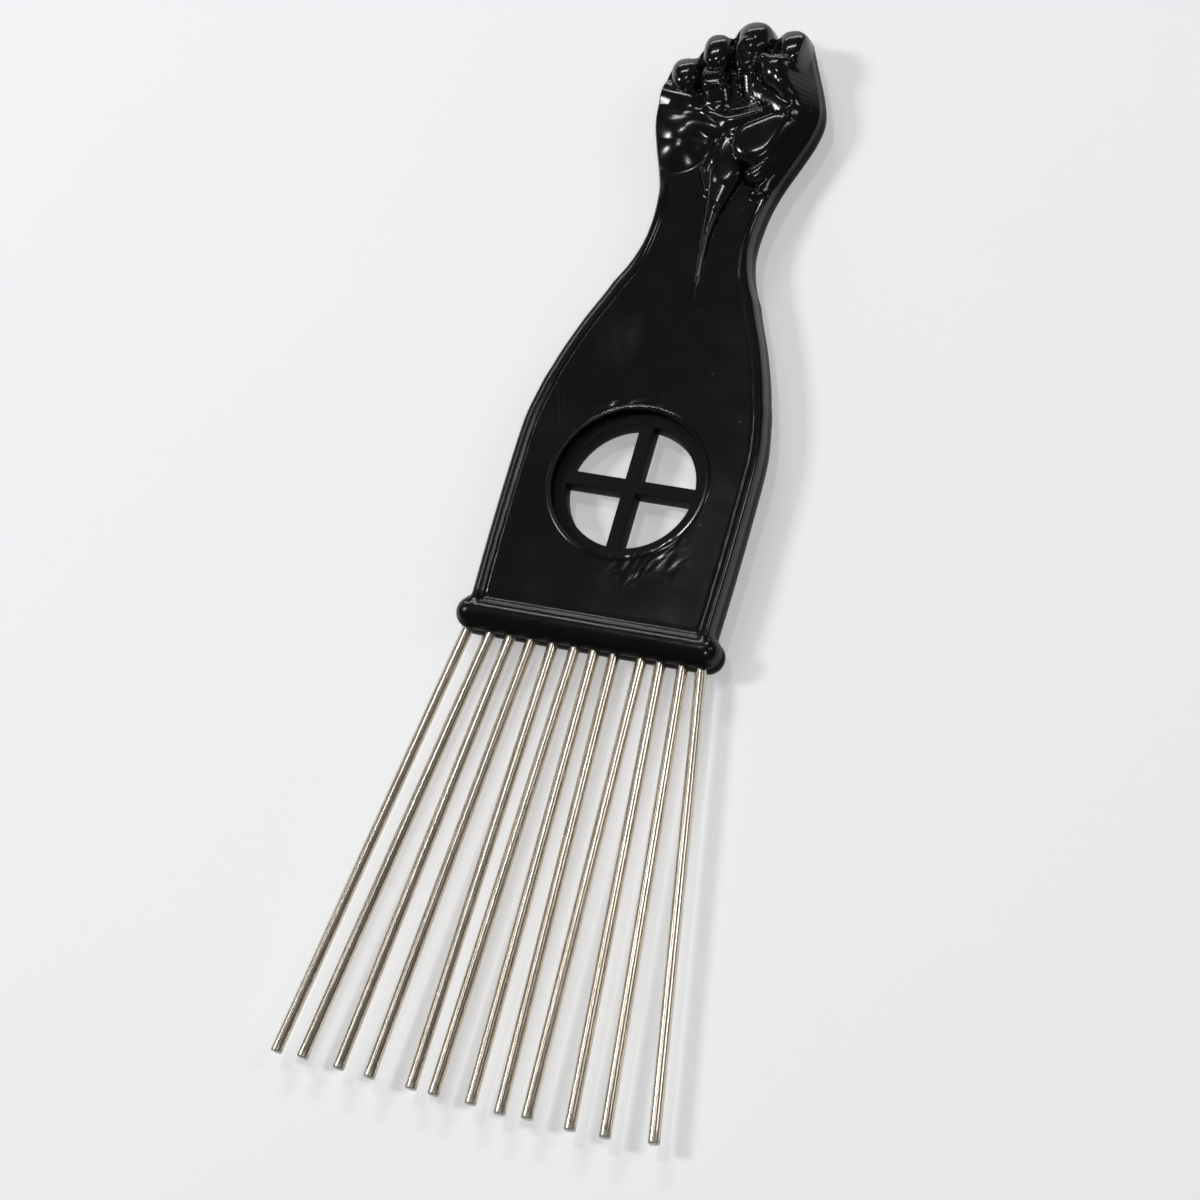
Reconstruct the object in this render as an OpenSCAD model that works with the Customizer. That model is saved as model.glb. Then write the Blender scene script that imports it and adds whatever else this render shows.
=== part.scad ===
// Afro pick with a raised fist for a handle. Two moulded half shells meet on a flat parting plane and hold a
// fan of round steel pins in grooves between them. The rear shell carries the ring and cross of the window,
// and the front shell's larger round hole leaves the ring's face bare as a shallow round recess.
// The pick lies on its back: +X is to the right, +Y runs from the pin tips to the fist, +Z faces the palm.
// The origin is the middle of the window, on the floor of the round recess.

/* [Handle] */
// Half width of the flat handle beside the window
handle_half = 26.7; // [25.8:0.1:30]
// Distance from the middle of the bar to the wrist
wrist_y = 88; // [84:1:110]
// Half width of the wrist
wrist_half = 12; // [10:0.1:15]
// Width of the fist, which sets its outline, its fingers and their rise above the panel
fist_w = 36; // [33:0.5:42]
// Height of the recessed front panel above the parting plane
front_panel = 3.5; // [3.1:0.1:4.5]
// Depth of the recessed rear panel below the parting plane
rear_panel = 2.6; // [2.5:0.1:3.2]
// Width of the raised rim that frames each panel
rim_w = 3; // [2:0.1:4]
// Height of the rim above its panel
rim_rise = 0.75; // [0.3:0.05:1.2]

/* [Bar] */
// Half length of the bar that holds the pins
bar_half = 28.6; // [27:0.1:34]
// Radius of each of the bar's two round beads
bar_r = 3.4; // [3:0.1:4.2]
// Height of each bead's middle above or below the parting plane
bar_rise = 1.4; // [1:0.1:2]

/* [Window] */
// Distance from the middle of the bar to the middle of the window
window_y = 32.6; // [32:0.1:40]
// Radius of the opening that the cross divides
window_r = 13.75; // [10:0.05:15]
// Radius of the round recess in the front shell
recess_r = 16.3; // [15:0.1:17]
// Width of each arm of the cross
cross_w = 3; // [2:0.1:5]
// Wall between the recess and the outside of the rear shell's ring
ring_wall = 1.7; // [1:0.1:1.8]
// Width of the raised lip round the recess
lip_w = 1.1; // [0.6:0.1:1.6]
// Height of that lip above the front panel
lip_rise = 0.25; // [0.1:0.05:0.5]

/* [Pins] */
// Number of pins
pin_count = 12; // [12:1:12]
// Diameter of a pin
pin_d = 2.4; // [2:0.1:2.6]
// Distance between neighbouring pins at the bar
pin_pitch = 4.5; // [4.3:0.05:4.6]
// Distance from the middle of the bar to a pin's tip
pin_reach = 99.6; // [70:0.2:120]
// Length of a pin inside the shells, from the middle of the bar
pin_grip = 9.6; // [9:0.1:10.4]
// Chamfer at both ends of a pin
pin_chamfer = 0.4; // [0.2:0.05:0.6]
// Diameter of the waist that locks a pin between the shells
waist_d = 1.7; // [1.2:0.1:1.8]
// Length of the waist
waist_len = 1.6; // [1:0.1:2]
// Distance from a pin's inner end to its waist
waist_inset = 2.4; // [1.5:0.1:3]
// Room round a pin in its groove
pin_clearance = 0.05; // [0.02:0.01:0.1]

/* [Inside] */
// Thickness of the front shell's panel
front_wall = 2; // [1.6:0.1:2.1]
// Thickness of the rear shell's panel
rear_wall = 1.6; // [1.4:0.1:2]
// Thickness of the side walls of both shells
side_wall = 2.6; // [2:0.1:3.2]
// Distance from the middle of the bar to the hollow between the shells
hollow_start = 12.4; // [12:0.1:13.5]
// Radius of the bosses that carry the locating pegs and sockets
boss_r = 2.5; // [2:0.1:3]
// Radius of a locating peg
peg_r = 1.3; // [1:0.1:1.6]
// Reach of a peg beyond the parting plane
peg_reach = 1.5; // [1:0.1:1.7]
// Room round a peg in its socket, and below it
peg_clearance = 0.1; // [0.05:0.01:0.2]
// Room between the front shell and the ring that stands inside it
ring_clearance = 0.3; // [0.2:0.05:0.5]

/* [Hidden] */
// Extra length of every cut past the face it leaves
overrun = 1;
// The fist's tables are in thirty-sixths of the fist's width
fist_unit = fist_w / 36;
// Level of the ring's face above the parting plane: the front panel rests on it
ring_level = front_panel - front_wall;
rear_floor = rear_panel - rear_wall;
ring_outer = recess_r + ring_wall;
pin_r = pin_d / 2;
black = [0.03, 0.03, 0.035];
dull_black = [0.07, 0.07, 0.08];
steel = [0.72, 0.70, 0.66];

// Half width of the handle at shares of the way to the wrist, from 0 at the wrist's to 1 at the handle's
side_shares = [[0, 0.98], [0.2, 1], [0.42, 1], [0.5, 0.98], [0.5625, 0.916], [0.625, 0.823], [0.75, 0.585],
    [0.875, 0.276], [0.9375, 0.095], [1, 0]];
// Outline of the hand on the little finger's side, past the wrist: x and y in fist units
left_shares = [[-12, 0], [-11.7, 5], [-12.2, 11], [-13.9, 16.5], [-15.8, 22], [-17, 27.5], [-17.2, 33],
    [-16.7, 37.8], [-15.59, 40.68]];
// Outline of the hand on the thumb's side. Both sides end on the round tops of the outer fingers.
right_shares = [[12, 0], [11.9, 4], [12.6, 10], [14.2, 16], [16.4, 22], [18.2, 27.5], [18.8, 32.5], [17.4, 37.5],
    [14.9, 43], [12.95, 47.2], [11.64, 50.04]];
// Round tops of the four fingers, from the little finger on: x, y and radius in fist units
top_shares = [[-12.9, 38, 3.8], [-7.2, 44.4, 3.6], [0, 47.6, 4.8], [8.6, 47, 4.3]];
// Softness of the valleys between the finger tops, and the fall of a finger's side past its radius
valley_share = 1.2;
side_fall = 2.5;
top_fall = 3;

// Every swelling of the hand is a limb with a round section. A row gives both ends, both radii, the rise of the
// crest at both ends, how far the crest arches up between them, how far the sides fall, the power of the section
// (2 is round, 4 is flat topped), and how softly it joins the rest. All lengths are in fist units, y counts from
// the wrist and the rise from the panel.
palm_shares = [
    // Heel of the palm and the saddle beside it
    [-10.4, 27, -10.2, 21.6, 9.6, 7.4, 2.8, 2.5, 0.4, 7, 2, 2],
    [-8, 27, 2.4, 25.4, 2.8, 2.4, 2.4, 1.9, 0, 2.4, 2, 1.8],
    // Fold where the fingers end
    [-12.6, 29.4, -6.6, 29, 1.7, 1.7, 2.4, 2.4, 0, 2.2, 2, 1],
    [-6.6, 29, -0.4, 27.8, 1.7, 2, 2.4, 2.7, 0, 2.2, 2, 1],
    [-0.4, 27.4, 6.6, 30.4, 2.9, 2.5, 2.8, 3.2, 0, 2.4, 1.7, 0.6],
    // Middle of the palm, which runs down the wrist as a narrow pointed blade
    [0.5, 23.6, 2.1, 16, 1.4, 3.6, 2.1, 2.5, 0.3, 2.2, 3.2, 0.5],
    [2.1, 16, 1.5, 8, 3.6, 1.8, 2.5, 1.6, 0, 2, 3, 0.5],
    [1.5, 8, 1.4, 1, 1.8, 1, 1.6, 1.1, 0, 1.6, 2.6, 0.4],
    [1.4, 1, 2.5, -12.3, 1, 0.3, 1.1, 0, 0.1, 1, 2.2, 0.3],
    [-0.8, 21.8, -2, 16.6, 2, 2.1, 2, 1.7, 0.1, 1.8, 2, 0.3],
    [-2, 16.6, -0.8, 11.6, 2.1, 1.1, 1.7, 1.3, 0, 1.5, 2, 0.3],
    // Ball of the thumb and the folds below it
    [6.7, 23.4, 10.8, 26.2, 5.3, 5, 3.9, 4.1, 0, 4.2, 4, 0.25],
    [8, 16.4, 16, 24, 2.3, 2.6, 2.5, 2.8, 0, 2.8, 2.2, 0.3],
    [9.4, 12.6, 13.6, 16.4, 1.6, 2, 1.2, 1.7, 0, 1.6, 2, 0.6],
    // Finger ends tucked into the palm
    [-17, 32.6, -9.6, 31.2, 3.2, 3, 2.3, 2.7, 0.3, 3.4, 2, 1.8],
    [-5.9, 37, -3.8, 31.4, 3.5, 3.2, 4, 2.4, 0.2, 4, 3, 0.6],
    [-7.2, 36.6, -4.5, 37.3, 1.5, 1.5, 4.5, 4.5, 0, 2.4, 2, 0.5],
    [-6.7, 34.7, -3.9, 35.2, 1.5, 1.5, 3.9, 3.9, 0, 2.4, 2, 0.5],
    [-1.9, 42, 1.4, 32.6, 0.8, 0.7, 3.7, 2.2, 0.2, 2.4, 2, 0.2],
    [1.6, 38.8, 3, 33.6, 3, 2.8, 2.9, 1.6, 0, 3.4, 2, 0.6],
    [6.4, 36.4, 11.4, 33.6, 3.6, 4, 2.3, 3, 0.2, 2.6, 2, 2.4],
    // Side of the forefinger
    [12.4, 43.4, 14.2, 35.8, 4, 4, 3.9, 3.2, 0, 3.4, 1.5, 0.4],
    // Folds at the thumb's root
    [15.2, 27, 16.8, 28.2, 1.9, 1.9, 2.9, 2.6, 0, 3, 2.4, 0.3],
    [13, 31, 16, 30.2, 3, 3, 4, 3.3, 0, 4, 2.6, 0.3],
    // Thumb, from its tip over the knuckle to its root
    [4.2, 41.8, 7.6, 39.9, 2.4, 4.4, 5.1, 5.7, 0.1, 4.6, 2.2, 0.3],
    [7.6, 39.9, 11, 38, 4.4, 4.4, 5.7, 5.8, 0, 4.6, 2.2, 0.8],
    [11, 38, 13.6, 35.2, 4.4, 3.6, 5.8, 4.6, 0, 4.4, 2.2, 0.8]];
// Bent fingers of the palm side, which start past the outline: their sides fall all the way to the parting plane
finger_shares = [
    [-13.7, 42, -11.8, 35.9, 4.2, 3.7, 0.7, 4.4, 0.9, 8, 3, 0.3],
    [-7.9, 49.2, -6.2, 41, 4, 3.6, 0.5, 5, 1, 8, 3, 0.3],
    [-0.4, 52.6, 0.7, 46, 5.2, 4.4, 0.6, 4.5, 0.8, 8, 2.6, 0.3],
    [-0.2, 44, 0.4, 41.6, 3.8, 3.6, 4.3, 4.1, 0, 8, 3.2, 1.4],
    [8, 52, 9.8, 44.2, 4.6, 4.2, 0.4, 4.4, 1, 8, 2.8, 0.3]];
// Back of the hand: its broad swelling, the thumb's root and the sinews behind the knuckles
back_shares = [
    [-7, 29, 6, 30, 10.2, 10.4, 1.7, 1.8, 0, 2.6, 2.6, 1.5],
    [0, 16, 0, 26, 9, 11.5, 1, 1.7, 0, 2.2, 2.6, 1.5],
    [15.2, 38, 15.4, 29, 2.9, 3.1, 0.9, 0.7, 0, 2.4, 2, 1],
    [-10.6, 34, -5.4, 20, 1.5, 0.9, 2, 1.4, 0, 1.2, 2, 1],
    [-5.6, 38, -2.4, 20, 1.6, 0.9, 2.1, 1.4, 0, 1.2, 2, 1],
    [-0.4, 39, 0.4, 20, 1.7, 0.9, 2.2, 1.4, 0, 1.2, 2, 1],
    [6.2, 38, 3.2, 20, 1.6, 0.9, 2.1, 1.4, 0, 1.2, 2, 1]];
// Knuckles: the two longest reach the plane that the bar lies on
knuckle_shares = [
    [-12.9, 38, -11.3, 33.6, 3.8, 3.9, 1.6, 1.7, 0, 5, 2, 0.6],
    [-7.2, 44.4, -6, 38.2, 3.6, 3.8, 1.9, 2, 0, 5, 2, 0.6],
    [0, 47.6, -0.3, 40, 4.8, 4.4, 2.05, 2.05, 0, 5, 2, 0.6],
    [8.6, 47, 6.6, 39.4, 4.3, 4.2, 2.05, 2.05, 0, 5, 2, 0.6]];

// Places across the row of pins as shares of the pitch from an even row, lean of each pin in degrees, and how far
// each sits towards the handle as a share of its diameter
pin_shift_shares = [-0.13, -0.01, -0.06, -0.05, -0.03, 0.02, -0.07, -0.13, 0.17, 0.04, 0.07, -0.1];
pin_leans = [-8, -7.6, -5.4, -4.1, -1.5, -1.4, 0.8, 2, 1.9, 4.8, 6.3, 9.8];
pin_slip_shares = [0.7, 0.7, 0.6, 0.5, 0.4, 0.3, 0.2, -0.1, 0, -0.3, -0.4, -0.4];
// Bosses: x as a share of the handle's half width and y as a share of the way to the wrist
boss_shares = [[-0.75, 0.21], [0.75, 0.21], [-0.66, 0.6], [0.66, 0.6], [0, 0.8]];

// Distances of the grid lines next to an edge, as shares of the rim's width, and lines across and along the grid
front_edge_shares = [0, 0.04, 0.14, 0.3, 0.5, 0.75, 1];
rear_edge_shares = [0, 0.07, 0.25, 0.55, 1];
front_across = 42;
rear_across = 20;
front_along = 48;
rear_along = 24;
// Share of the hand's length that a share of its rows covers: the fingers get the closest rows
along_shares = [[0, 0], [0.25, 0.42], [1, 1]];
// Rows of the straight handle as shares of the way to the wrist
row_shares = [0, 0.045, 0.12, 0.3, 0.42, 0.47, 0.52, 0.57, 0.62, 0.67, 0.72, 0.77, 0.82, 0.86, 0.9, 0.93, 0.96, 0.98];
// Roundness of the outer edge along the handle, and round both sides of the hand in fist units
handle_edge = rim_w / 2;
palm_edge_share = 0.9;
back_edge_share = 2.5;
// Where the hand's own edge is reached, where the rim ends and where the palm rises, past the wrist
hand_start_share = 16;
rim_end_shares = [6, 15];
palm_start_shares = [19, 26];
palm_lift_share = 1.4;
// The thumb's side slopes down to a low wall: its places across the hand, their lean, the wall's height, the rise
// above it, the softness of the shoulder, and the height that is out of its reach
slope_across_shares = [1, 7];
slope_lean = 0.05;
slope_wall_share = 1.9;
slope_rise = 1.1;
slope_soft_share = 1.4;
slope_clear_share = 8;
// The forefinger's round top stands clear of that slope
cap_up_shares = [40, 47];
cap_across_shares = [10, 13];
// The rim narrows towards the wrist by this share
rim_taper_share = 0.2;
outline_steps = 24;
// Steps of the bar's ball ends
ball_steps = 10;
// Row where the parting face's strips end, as a share of the hand's rows, and the columns kept clear of each side
fork_share = 0.6;
fork_margin = 7;

function limit(t, low, high) = min(max(t, low), high);
function ease(a, b, t) = let (s = limit((t - a) / (b - a), 0, 1)) s * s * (3 - 2 * s);
function mix(a, b, t) = a + (b - a) * t;
function soft_max(a, b, k) = let (h = max(k - abs(a - b), 0) / k) max(a, b) + h * h * k / 4;
function last(list) = list[len(list) - 1];

// A smooth curve through all points of a list: t runs from 0 at the first to 1 at the last
function spline(list, t) =
    let (
        n = len(list) - 1,
        s = limit(t, 0, 1) * n,
        i = min(floor(s), n - 1),
        f = s - i,
        a = list[max(i - 1, 0)],
        b = list[i],
        c = list[i + 1],
        d = list[min(i + 2, n)]
    )
    (2 * b + (c - a) * f + (2 * a - 5 * b + 4 * c - d) * f * f + (3 * b - a - 3 * c + d) * f * f * f) / 2;

// Half width of the handle at a distance from the bar
function half_width(y) =
    let (
        t = limit(y / wrist_y, 0, 1),
        steps = [for (i = [0 : len(side_shares) - 1]) [side_shares[i][0], i / (len(side_shares) - 1)]]
    )
    mix(wrist_half, handle_half, spline(side_shares, lookup(t, steps))[1]);

// Both sides of the hand start where the wrist's sides end
function hand_side(list, t) =
    let (p = spline(list, t) * fist_unit, first = list[0] * fist_unit, stretch = 1 - limit(2 * t, 0, 1))
    [p[0] + stretch * (sign(first[0]) * wrist_half - first[0]), wrist_y + p[1]];

// Height of the finger tops over a place across the hand
function finger_top(x, i = 0) =
    let (
        top = top_shares[i] * fist_unit,
        gap = abs(x - top[0]) - top[2],
        arc = gap < 0 ? sqrt(top[2] * top[2] - (x - top[0]) * (x - top[0])) : -top_fall * gap,
        here = top[1] + arc
    )
    i == len(top_shares) - 1 ? here : soft_max(here, finger_top(x, i + 1), valley_share * fist_unit);

// Shares of a length where grid lines cross it: close together at the ends, even between
function spread(edges, across, length) =
    let (
        near = [for (e = edges) e * rim_w / length],
        inner = last(near),
        even = [for (i = [1 : across - 1]) mix(inner, 1 - inner, i / across)]
    )
    concat(near, even, [for (i = [len(near) - 1 : -1 : 0]) 1 - near[i]]);

// Close together at the far end only
function spread_top(edges, along, length) =
    let (near = [for (e = edges) e * rim_w / length], inner = last(near))
    concat(
        [for (i = [0 : along - 1]) (1 - inner) * lookup(i / along, along_shares)],
        [for (i = [len(near) - 1 : -1 : 0]) 1 - near[i]]
    );

// One row of plan points across the straight handle
function handle_row(y, edges, across) =
    let (h = half_width(y)) [for (u = spread(edges, across, 2 * h)) [mix(-h, h, u), y]];

// One row across the hand: a patch blended between the wrist, both sides and the finger tops
function hand_row(v, edges, across) =
    let (
        left = hand_side(left_shares, v),
        right = hand_side(right_shares, v),
        top_left = hand_side(left_shares, 1),
        top_right = hand_side(right_shares, 1)
    )
    [
        for (u = spread(edges, across, right[0] - left[0]))
            let (
                x = mix(top_left[0], top_right[0], u),
                tip = u <= 0 ? top_left : u >= 1 ? top_right : [x, wrist_y + finger_top(x)],
                foot = [mix(-wrist_half, wrist_half, u), wrist_y],
                corners = mix([mix(-wrist_half, wrist_half, u), wrist_y], mix(top_left, top_right, u), v)
            )
            mix(foot, tip, v) + mix(left, right, u) - corners
    ];

// All rows of plan points, from the bar to the finger tops
function plan_rows(edges, across, along) =
    concat(
        [for (s = row_shares) handle_row(s * wrist_y, edges, across)],
        [for (v = spread_top(edges, along, last(top_shares)[1] * fist_unit)) hand_row(v, edges, across)]
    );

// Outline of the whole handle, from the bar's left end over the fingers to its right end
function side_line(from, side) =
    [for (i = [0 : outline_steps - 1]) let (y = mix(from, wrist_y, i / outline_steps)) [side * half_width(y), y]];
left_line = concat(side_line(-rim_w, -1), [for (i = [0 : outline_steps]) hand_side(left_shares, i / outline_steps)]);
right_line = concat(side_line(-rim_w, 1), [for (i = [0 : outline_steps]) hand_side(right_shares, i / outline_steps)]);
tip_line = [
    for (i = [1 : 2 * outline_steps - 1])
        let (x = mix(last(left_line)[0], last(right_line)[0], i / (2 * outline_steps))) [x, wrist_y + finger_top(x)]
];
outline = concat(left_line, tip_line, [for (i = [len(right_line) - 1 : -1 : 0]) right_line[i]]);

// Distance from a place to the outline
function to_edge(p) =
    min([
        for (i = [0 : len(outline) - 2])
            let (
                a = outline[i],
                e = outline[i + 1] - a,
                t = limit((p - a) * e / (e * e), 0, 1)
            )
            norm(p - a - e * t)
    ]);

// A quarter round that rises from 0 at the edge to 1 at its radius
function quarter_round(d, r) = let (q = limit(1 - d / r, 0, 1)) sqrt(1 - q * q);

// Height of one limb over a place
function limb(row, x, y, panel) =
    let (
        s = row * fist_unit,
        e = [s[2] - s[0], s[3] - s[1]],
        t = limit([x - s[0], y - s[1]] * e / (e * e), 0, 1),
        d = norm([x - s[0], y - s[1]] - e * t),
        r = mix(s[4], s[5], t),
        q = min(d / r, 1),
        power = row[10],
        crest = panel + mix(s[6], s[7], t) + 4 * s[8] * t * (1 - t)
    )
    crest - s[9] * (1 - pow(1 - pow(q, power), 1 / power)) - side_fall * max(d - r, 0);

// Highest of a surface and all limbs of a table
function with_limbs(z, rows, x, y, panel, i = 0) =
    i == len(rows) ? z
    : with_limbs(soft_max(z, limb(rows[i], x, y, panel), last(rows[i]) * fist_unit), rows, x, y, panel, i + 1);

// Half round rim along the edge of a panel
function rim(d, width) = d < width ? rim_rise * sqrt(max(1 - pow(2 * d / width - 1, 2), 0)) : 0;

// How far the hand's own edge has set in, from 0 at the wrist to 1
function hand_share(y) = ease(0, hand_start_share, y);

// Greatest height over a place near the thumb's side, all in fist units
function shoulder(d, x, y) =
    let (
        cap = ease(cap_up_shares[0], cap_up_shares[1], y) * (1 - ease(cap_across_shares[0], cap_across_shares[1], x)),
        side = ease(slope_across_shares[0], slope_across_shares[1], x - slope_lean * y) * (1 - cap)
    )
    slope_wall_share + slope_rise * d + (1 - side * hand_share(y)) * slope_clear_share;

// Height of a shell's skin over a place
function skin(p, panel, hand_rows, finger_rows, lift, edge_share, sloped) =
    let (
        d = to_edge(p),
        x = p[0],
        y = p[1] - wrist_y,
        hand_y = y / fist_unit,
        base = panel + lift * ease(palm_start_shares[0], palm_start_shares[1], hand_y),
        width = rim_w * (1 - rim_taper_share * ease(rim_end_shares[0] - rim_end_shares[1], 0, hand_y)),
        hand = with_limbs(base, hand_rows, x, y, panel)
            + rim(d, width) * (1 - ease(rim_end_shares[0], rim_end_shares[1], hand_y)),
        full = with_limbs(hand, finger_rows, x, y, panel),
        top = fist_unit * shoulder(d / fist_unit, x / fist_unit, hand_y),
        height = sloped ? -soft_max(-full, -top, slope_soft_share * fist_unit) : full
    )
    height * quarter_round(d, mix(handle_edge, edge_share * fist_unit, hand_share(hand_y)));

// A closed half shell: the skin over a grid, its flat parting face and its flat end inside the bar. The parting
// face is laid in strips between both sides, and in a fan of its own below the finger tops.
module skin_solid(rows, panel, hand_rows, finger_rows, lift, edge_share, sloped) {
    n = len(rows);
    m = len(rows[0]);
    wrist_row = len(row_shares);
    fork = round(mix(wrist_row, n, fork_share));
    left = rows[fork][0];
    right = rows[fork][m - 1];
    // Columns between the two rims
    inner = [for (j = [1 : m - 2]) if (abs(2 * j - m + 1) < m - 2 * fork_margin) j];
    a = n * m;
    z = len(inner) - 1;
    points = concat(
        [
            for (i = [0 : n - 1], j = [0 : m - 1])
                let (p = rows[i][j], closed = j == 0 || j == m - 1 || i == n - 1)
                [p[0], p[1], closed ? 0 : skin(p, panel, hand_rows, finger_rows, lift, edge_share, sloped)]
        ],
        [for (j = inner) let (p = mix(left, right, j / (m - 1))) [p[0], p[1], 0]]
    );
    // Each cell is split along its shorter diagonal, but the two cells at the upper corners, which have three
    // points on the parting plane, along the one that leaves no flat triangle there
    quads = [
        for (i = [0 : n - 2], j = [0 : m - 2])
            let (
                p = i * m + j,
                q = p + 1,
                r = p + m + 1,
                s = p + m,
                rising = i == n - 2 && (j == 0 || j == m - 2)
                    ? j > 0
                    : norm(points[p] - points[r]) < norm(points[q] - points[s])
            )
            rising ? [[p, s, r], [p, r, q]] : [[p, s, q], [q, s, r]]
    ];
    strips = [for (i = [0 : fork - 2]) [i * m, i * m + m - 1, i * m + 2 * m - 1, i * m + m]];
    joint = concat(
        [(fork - 1) * m, fork * m - 1, fork * m + m - 1],
        [for (k = [z : -1 : 0]) a + k],
        [fork * m]
    );
    fan = [for (k = [0 : z - 1]) [a + k, a + k + 1, (n - 1) * m + inner[k + 1], (n - 1) * m + inner[k]]];
    left_fan = concat(
        [a],
        [for (j = [inner[0] : -1 : 0]) (n - 1) * m + j],
        [for (i = [n - 2 : -1 : fork]) i * m]
    );
    right_fan = concat(
        [a + z],
        [for (i = [fork : n - 1]) i * m + m - 1],
        [for (j = [m - 2 : -1 : inner[z]]) (n - 1) * m + j]
    );
    polyhedron(
        points = points,
        faces = concat([for (q = quads) q[0]], [for (q = quads) q[1]], [[for (j = [0 : m - 1]) j]], strips, [joint],
            fan, [left_fan, right_fan]),
        convexity = 6
    );
}

// One bead of the bar, above the parting plane: a rod with ball ends, turned about its own axis
module bead() {
    ball = bar_half - bar_r;
    ends = [for (i = [0 : ball_steps]) let (t = 90 * i / ball_steps) [bar_r * cos(t), ball + bar_r * sin(t)]];
    profile = concat(ends, [for (i = [ball_steps : -1 : 0]) [ends[i][0], -ends[i][1]]]);
    intersection() {
        translate([0, 0, bar_rise]) rotate([0, 90, 0]) rotate_extrude($fn = 64) polygon(profile);
        translate([-bar_half - overrun, -bar_r - overrun, 0])
            cube([2 * (bar_half + overrun), 2 * (bar_r + overrun), bar_rise + bar_r + overrun]);
    }
}

// Half profile of a pin, with room added all round for its groove
function pin_profile(room, tip) =
    let (
        r = pin_r + room,
        waist = waist_d / 2 + room,
        inner = -pin_grip - room,
        low = -pin_grip + waist_inset + room,
        high = -pin_grip + waist_inset + waist_len - room
    )
    [
        [0, inner], [r - pin_chamfer, inner], [r, inner + pin_chamfer], [r, low], [waist, low], [waist, high],
        [r, high], [r, tip - pin_chamfer], [r - pin_chamfer, tip], [0, tip]
    ];

// Places something that stands along a pin's axis at pin number i
module at_pin(i) {
    x = (i - (pin_count - 1) / 2 + pin_shift_shares[i]) * pin_pitch;
    translate([x, 0, 0]) rotate([0, 0, pin_leans[i]]) translate([0, pin_slip_shares[i] * pin_d, 0])
        rotate([90, 0, 0]) children();
}

module pin_grooves() {
    for (i = [0 : pin_count - 1])
        at_pin(i) rotate_extrude($fn = 48) polygon(pin_profile(pin_clearance, bar_r + pin_d + overrun));
}

function boss_places() =
    [for (s = boss_shares) [s[0] * half_width(s[1] * wrist_y), s[1] * wrist_y]];

// Plan of the hollow between the shells, less the bosses
module hollow_plan() {
    steps = outline_steps;
    ys = [for (i = [0 : steps]) mix(hollow_start, wrist_y, i / steps)];
    difference() {
        polygon(concat(
            [for (y = ys) [side_wall - half_width(y), y]],
            [for (i = [steps : -1 : 0]) [half_width(ys[i]) - side_wall, ys[i]]]
        ));
        for (place = boss_places())
            translate(place) circle(r = boss_r, $fn = 40);
    }
}

// Four quarter openings left by the cross
module quarter_plan() {
    difference() {
        circle(r = window_r, $fn = 128);
        square([cross_w, 2 * (window_r + overrun)], center = true);
        square([2 * (window_r + overrun), cross_w], center = true);
    }
}

module front_shell() {
    color(black) translate([0, -window_y, -ring_level]) {
        difference() {
            union() {
                skin_solid(plan_rows(front_edge_shares, front_across, front_along), front_panel, palm_shares,
                    finger_shares, palm_lift_share * fist_unit, palm_edge_share, true);
                bead();
                translate([0, window_y, 0]) recess_lip();
            }
            translate([0, 0, -overrun]) linear_extrude(ring_level + overrun) hollow_plan();
            translate([0, window_y, -overrun])
                cylinder(h = ring_level + overrun, r = ring_outer + ring_clearance, $fn = 128);
            translate([0, window_y, 0])
                cylinder(h = front_panel + lip_rise + overrun, r = recess_r, $fn = 128);
            pin_grooves();
        }
        for (place = boss_places())
            translate([place[0], place[1], -peg_reach]) cylinder(h = peg_reach + ring_level, r = peg_r, $fn = 40);
    }
}

// Low rounded lip that frames the recess
module recess_lip() {
    rotate_extrude($fn = 128)
        polygon([
            [recess_r - lip_rise, ring_level + lip_rise],
            for (i = [0 : 8]) [
                recess_r + lip_w * i / 8,
                front_panel + lip_rise * sqrt(1 - pow(i / 8, 2))
            ],
            [recess_r + lip_w, ring_level + lip_rise]
        ]);
}

module rear_shell() {
    color(dull_black) translate([0, -window_y, -ring_level]) {
        difference() {
            union() {
                difference() {
                    mirror([0, 0, 1]) {
                        skin_solid(plan_rows(rear_edge_shares, rear_across, rear_along), rear_panel, back_shares,
                            knuckle_shares, 0, back_edge_share, false);
                        bead();
                    }
                    translate([0, 0, -rear_floor]) linear_extrude(rear_floor + overrun) difference() {
                        hollow_plan();
                        translate([0, window_y]) circle(r = ring_outer, $fn = 128);
                    }
                }
                translate([0, window_y, -rear_floor])
                    cylinder(h = rear_floor + ring_level, r = ring_outer, $fn = 128);
            }
            translate([0, window_y, -rear_panel - rim_rise - overrun])
                linear_extrude(rear_panel + rim_rise + ring_level + 2 * overrun) quarter_plan();
            for (place = boss_places())
                translate([place[0], place[1], -peg_reach - peg_clearance])
                    cylinder(h = peg_reach + peg_clearance + overrun, r = peg_r + peg_clearance, $fn = 40);
            pin_grooves();
        }
    }
}

module pin(i) {
    color(steel) translate([0, -window_y, -ring_level])
        at_pin(i) rotate_extrude($fn = 48) polygon(pin_profile(0, pin_reach));
}

front_shell();
rear_shell();
pin(0);  // pin_01
pin(1);  // pin_02
pin(2);  // pin_03
pin(3);  // pin_04
pin(4);  // pin_05
pin(5);  // pin_06
pin(6);  // pin_07
pin(7);  // pin_08
pin(8);  // pin_09
pin(9);  // pin_10
pin(10);  // pin_11
pin(11);  // pin_12
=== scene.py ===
"""Looks of an afro pick: a fan of nickel plated pins in a glossy black handle that ends in a raised fist.

All shapes are worked out in millimetres round the middle of the bar, on the plane where both half shells
meet, and are moved into the part's own frame, in metres, when they become meshes.
"""

import logging
from dataclasses import dataclass
from enum import Enum

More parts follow.
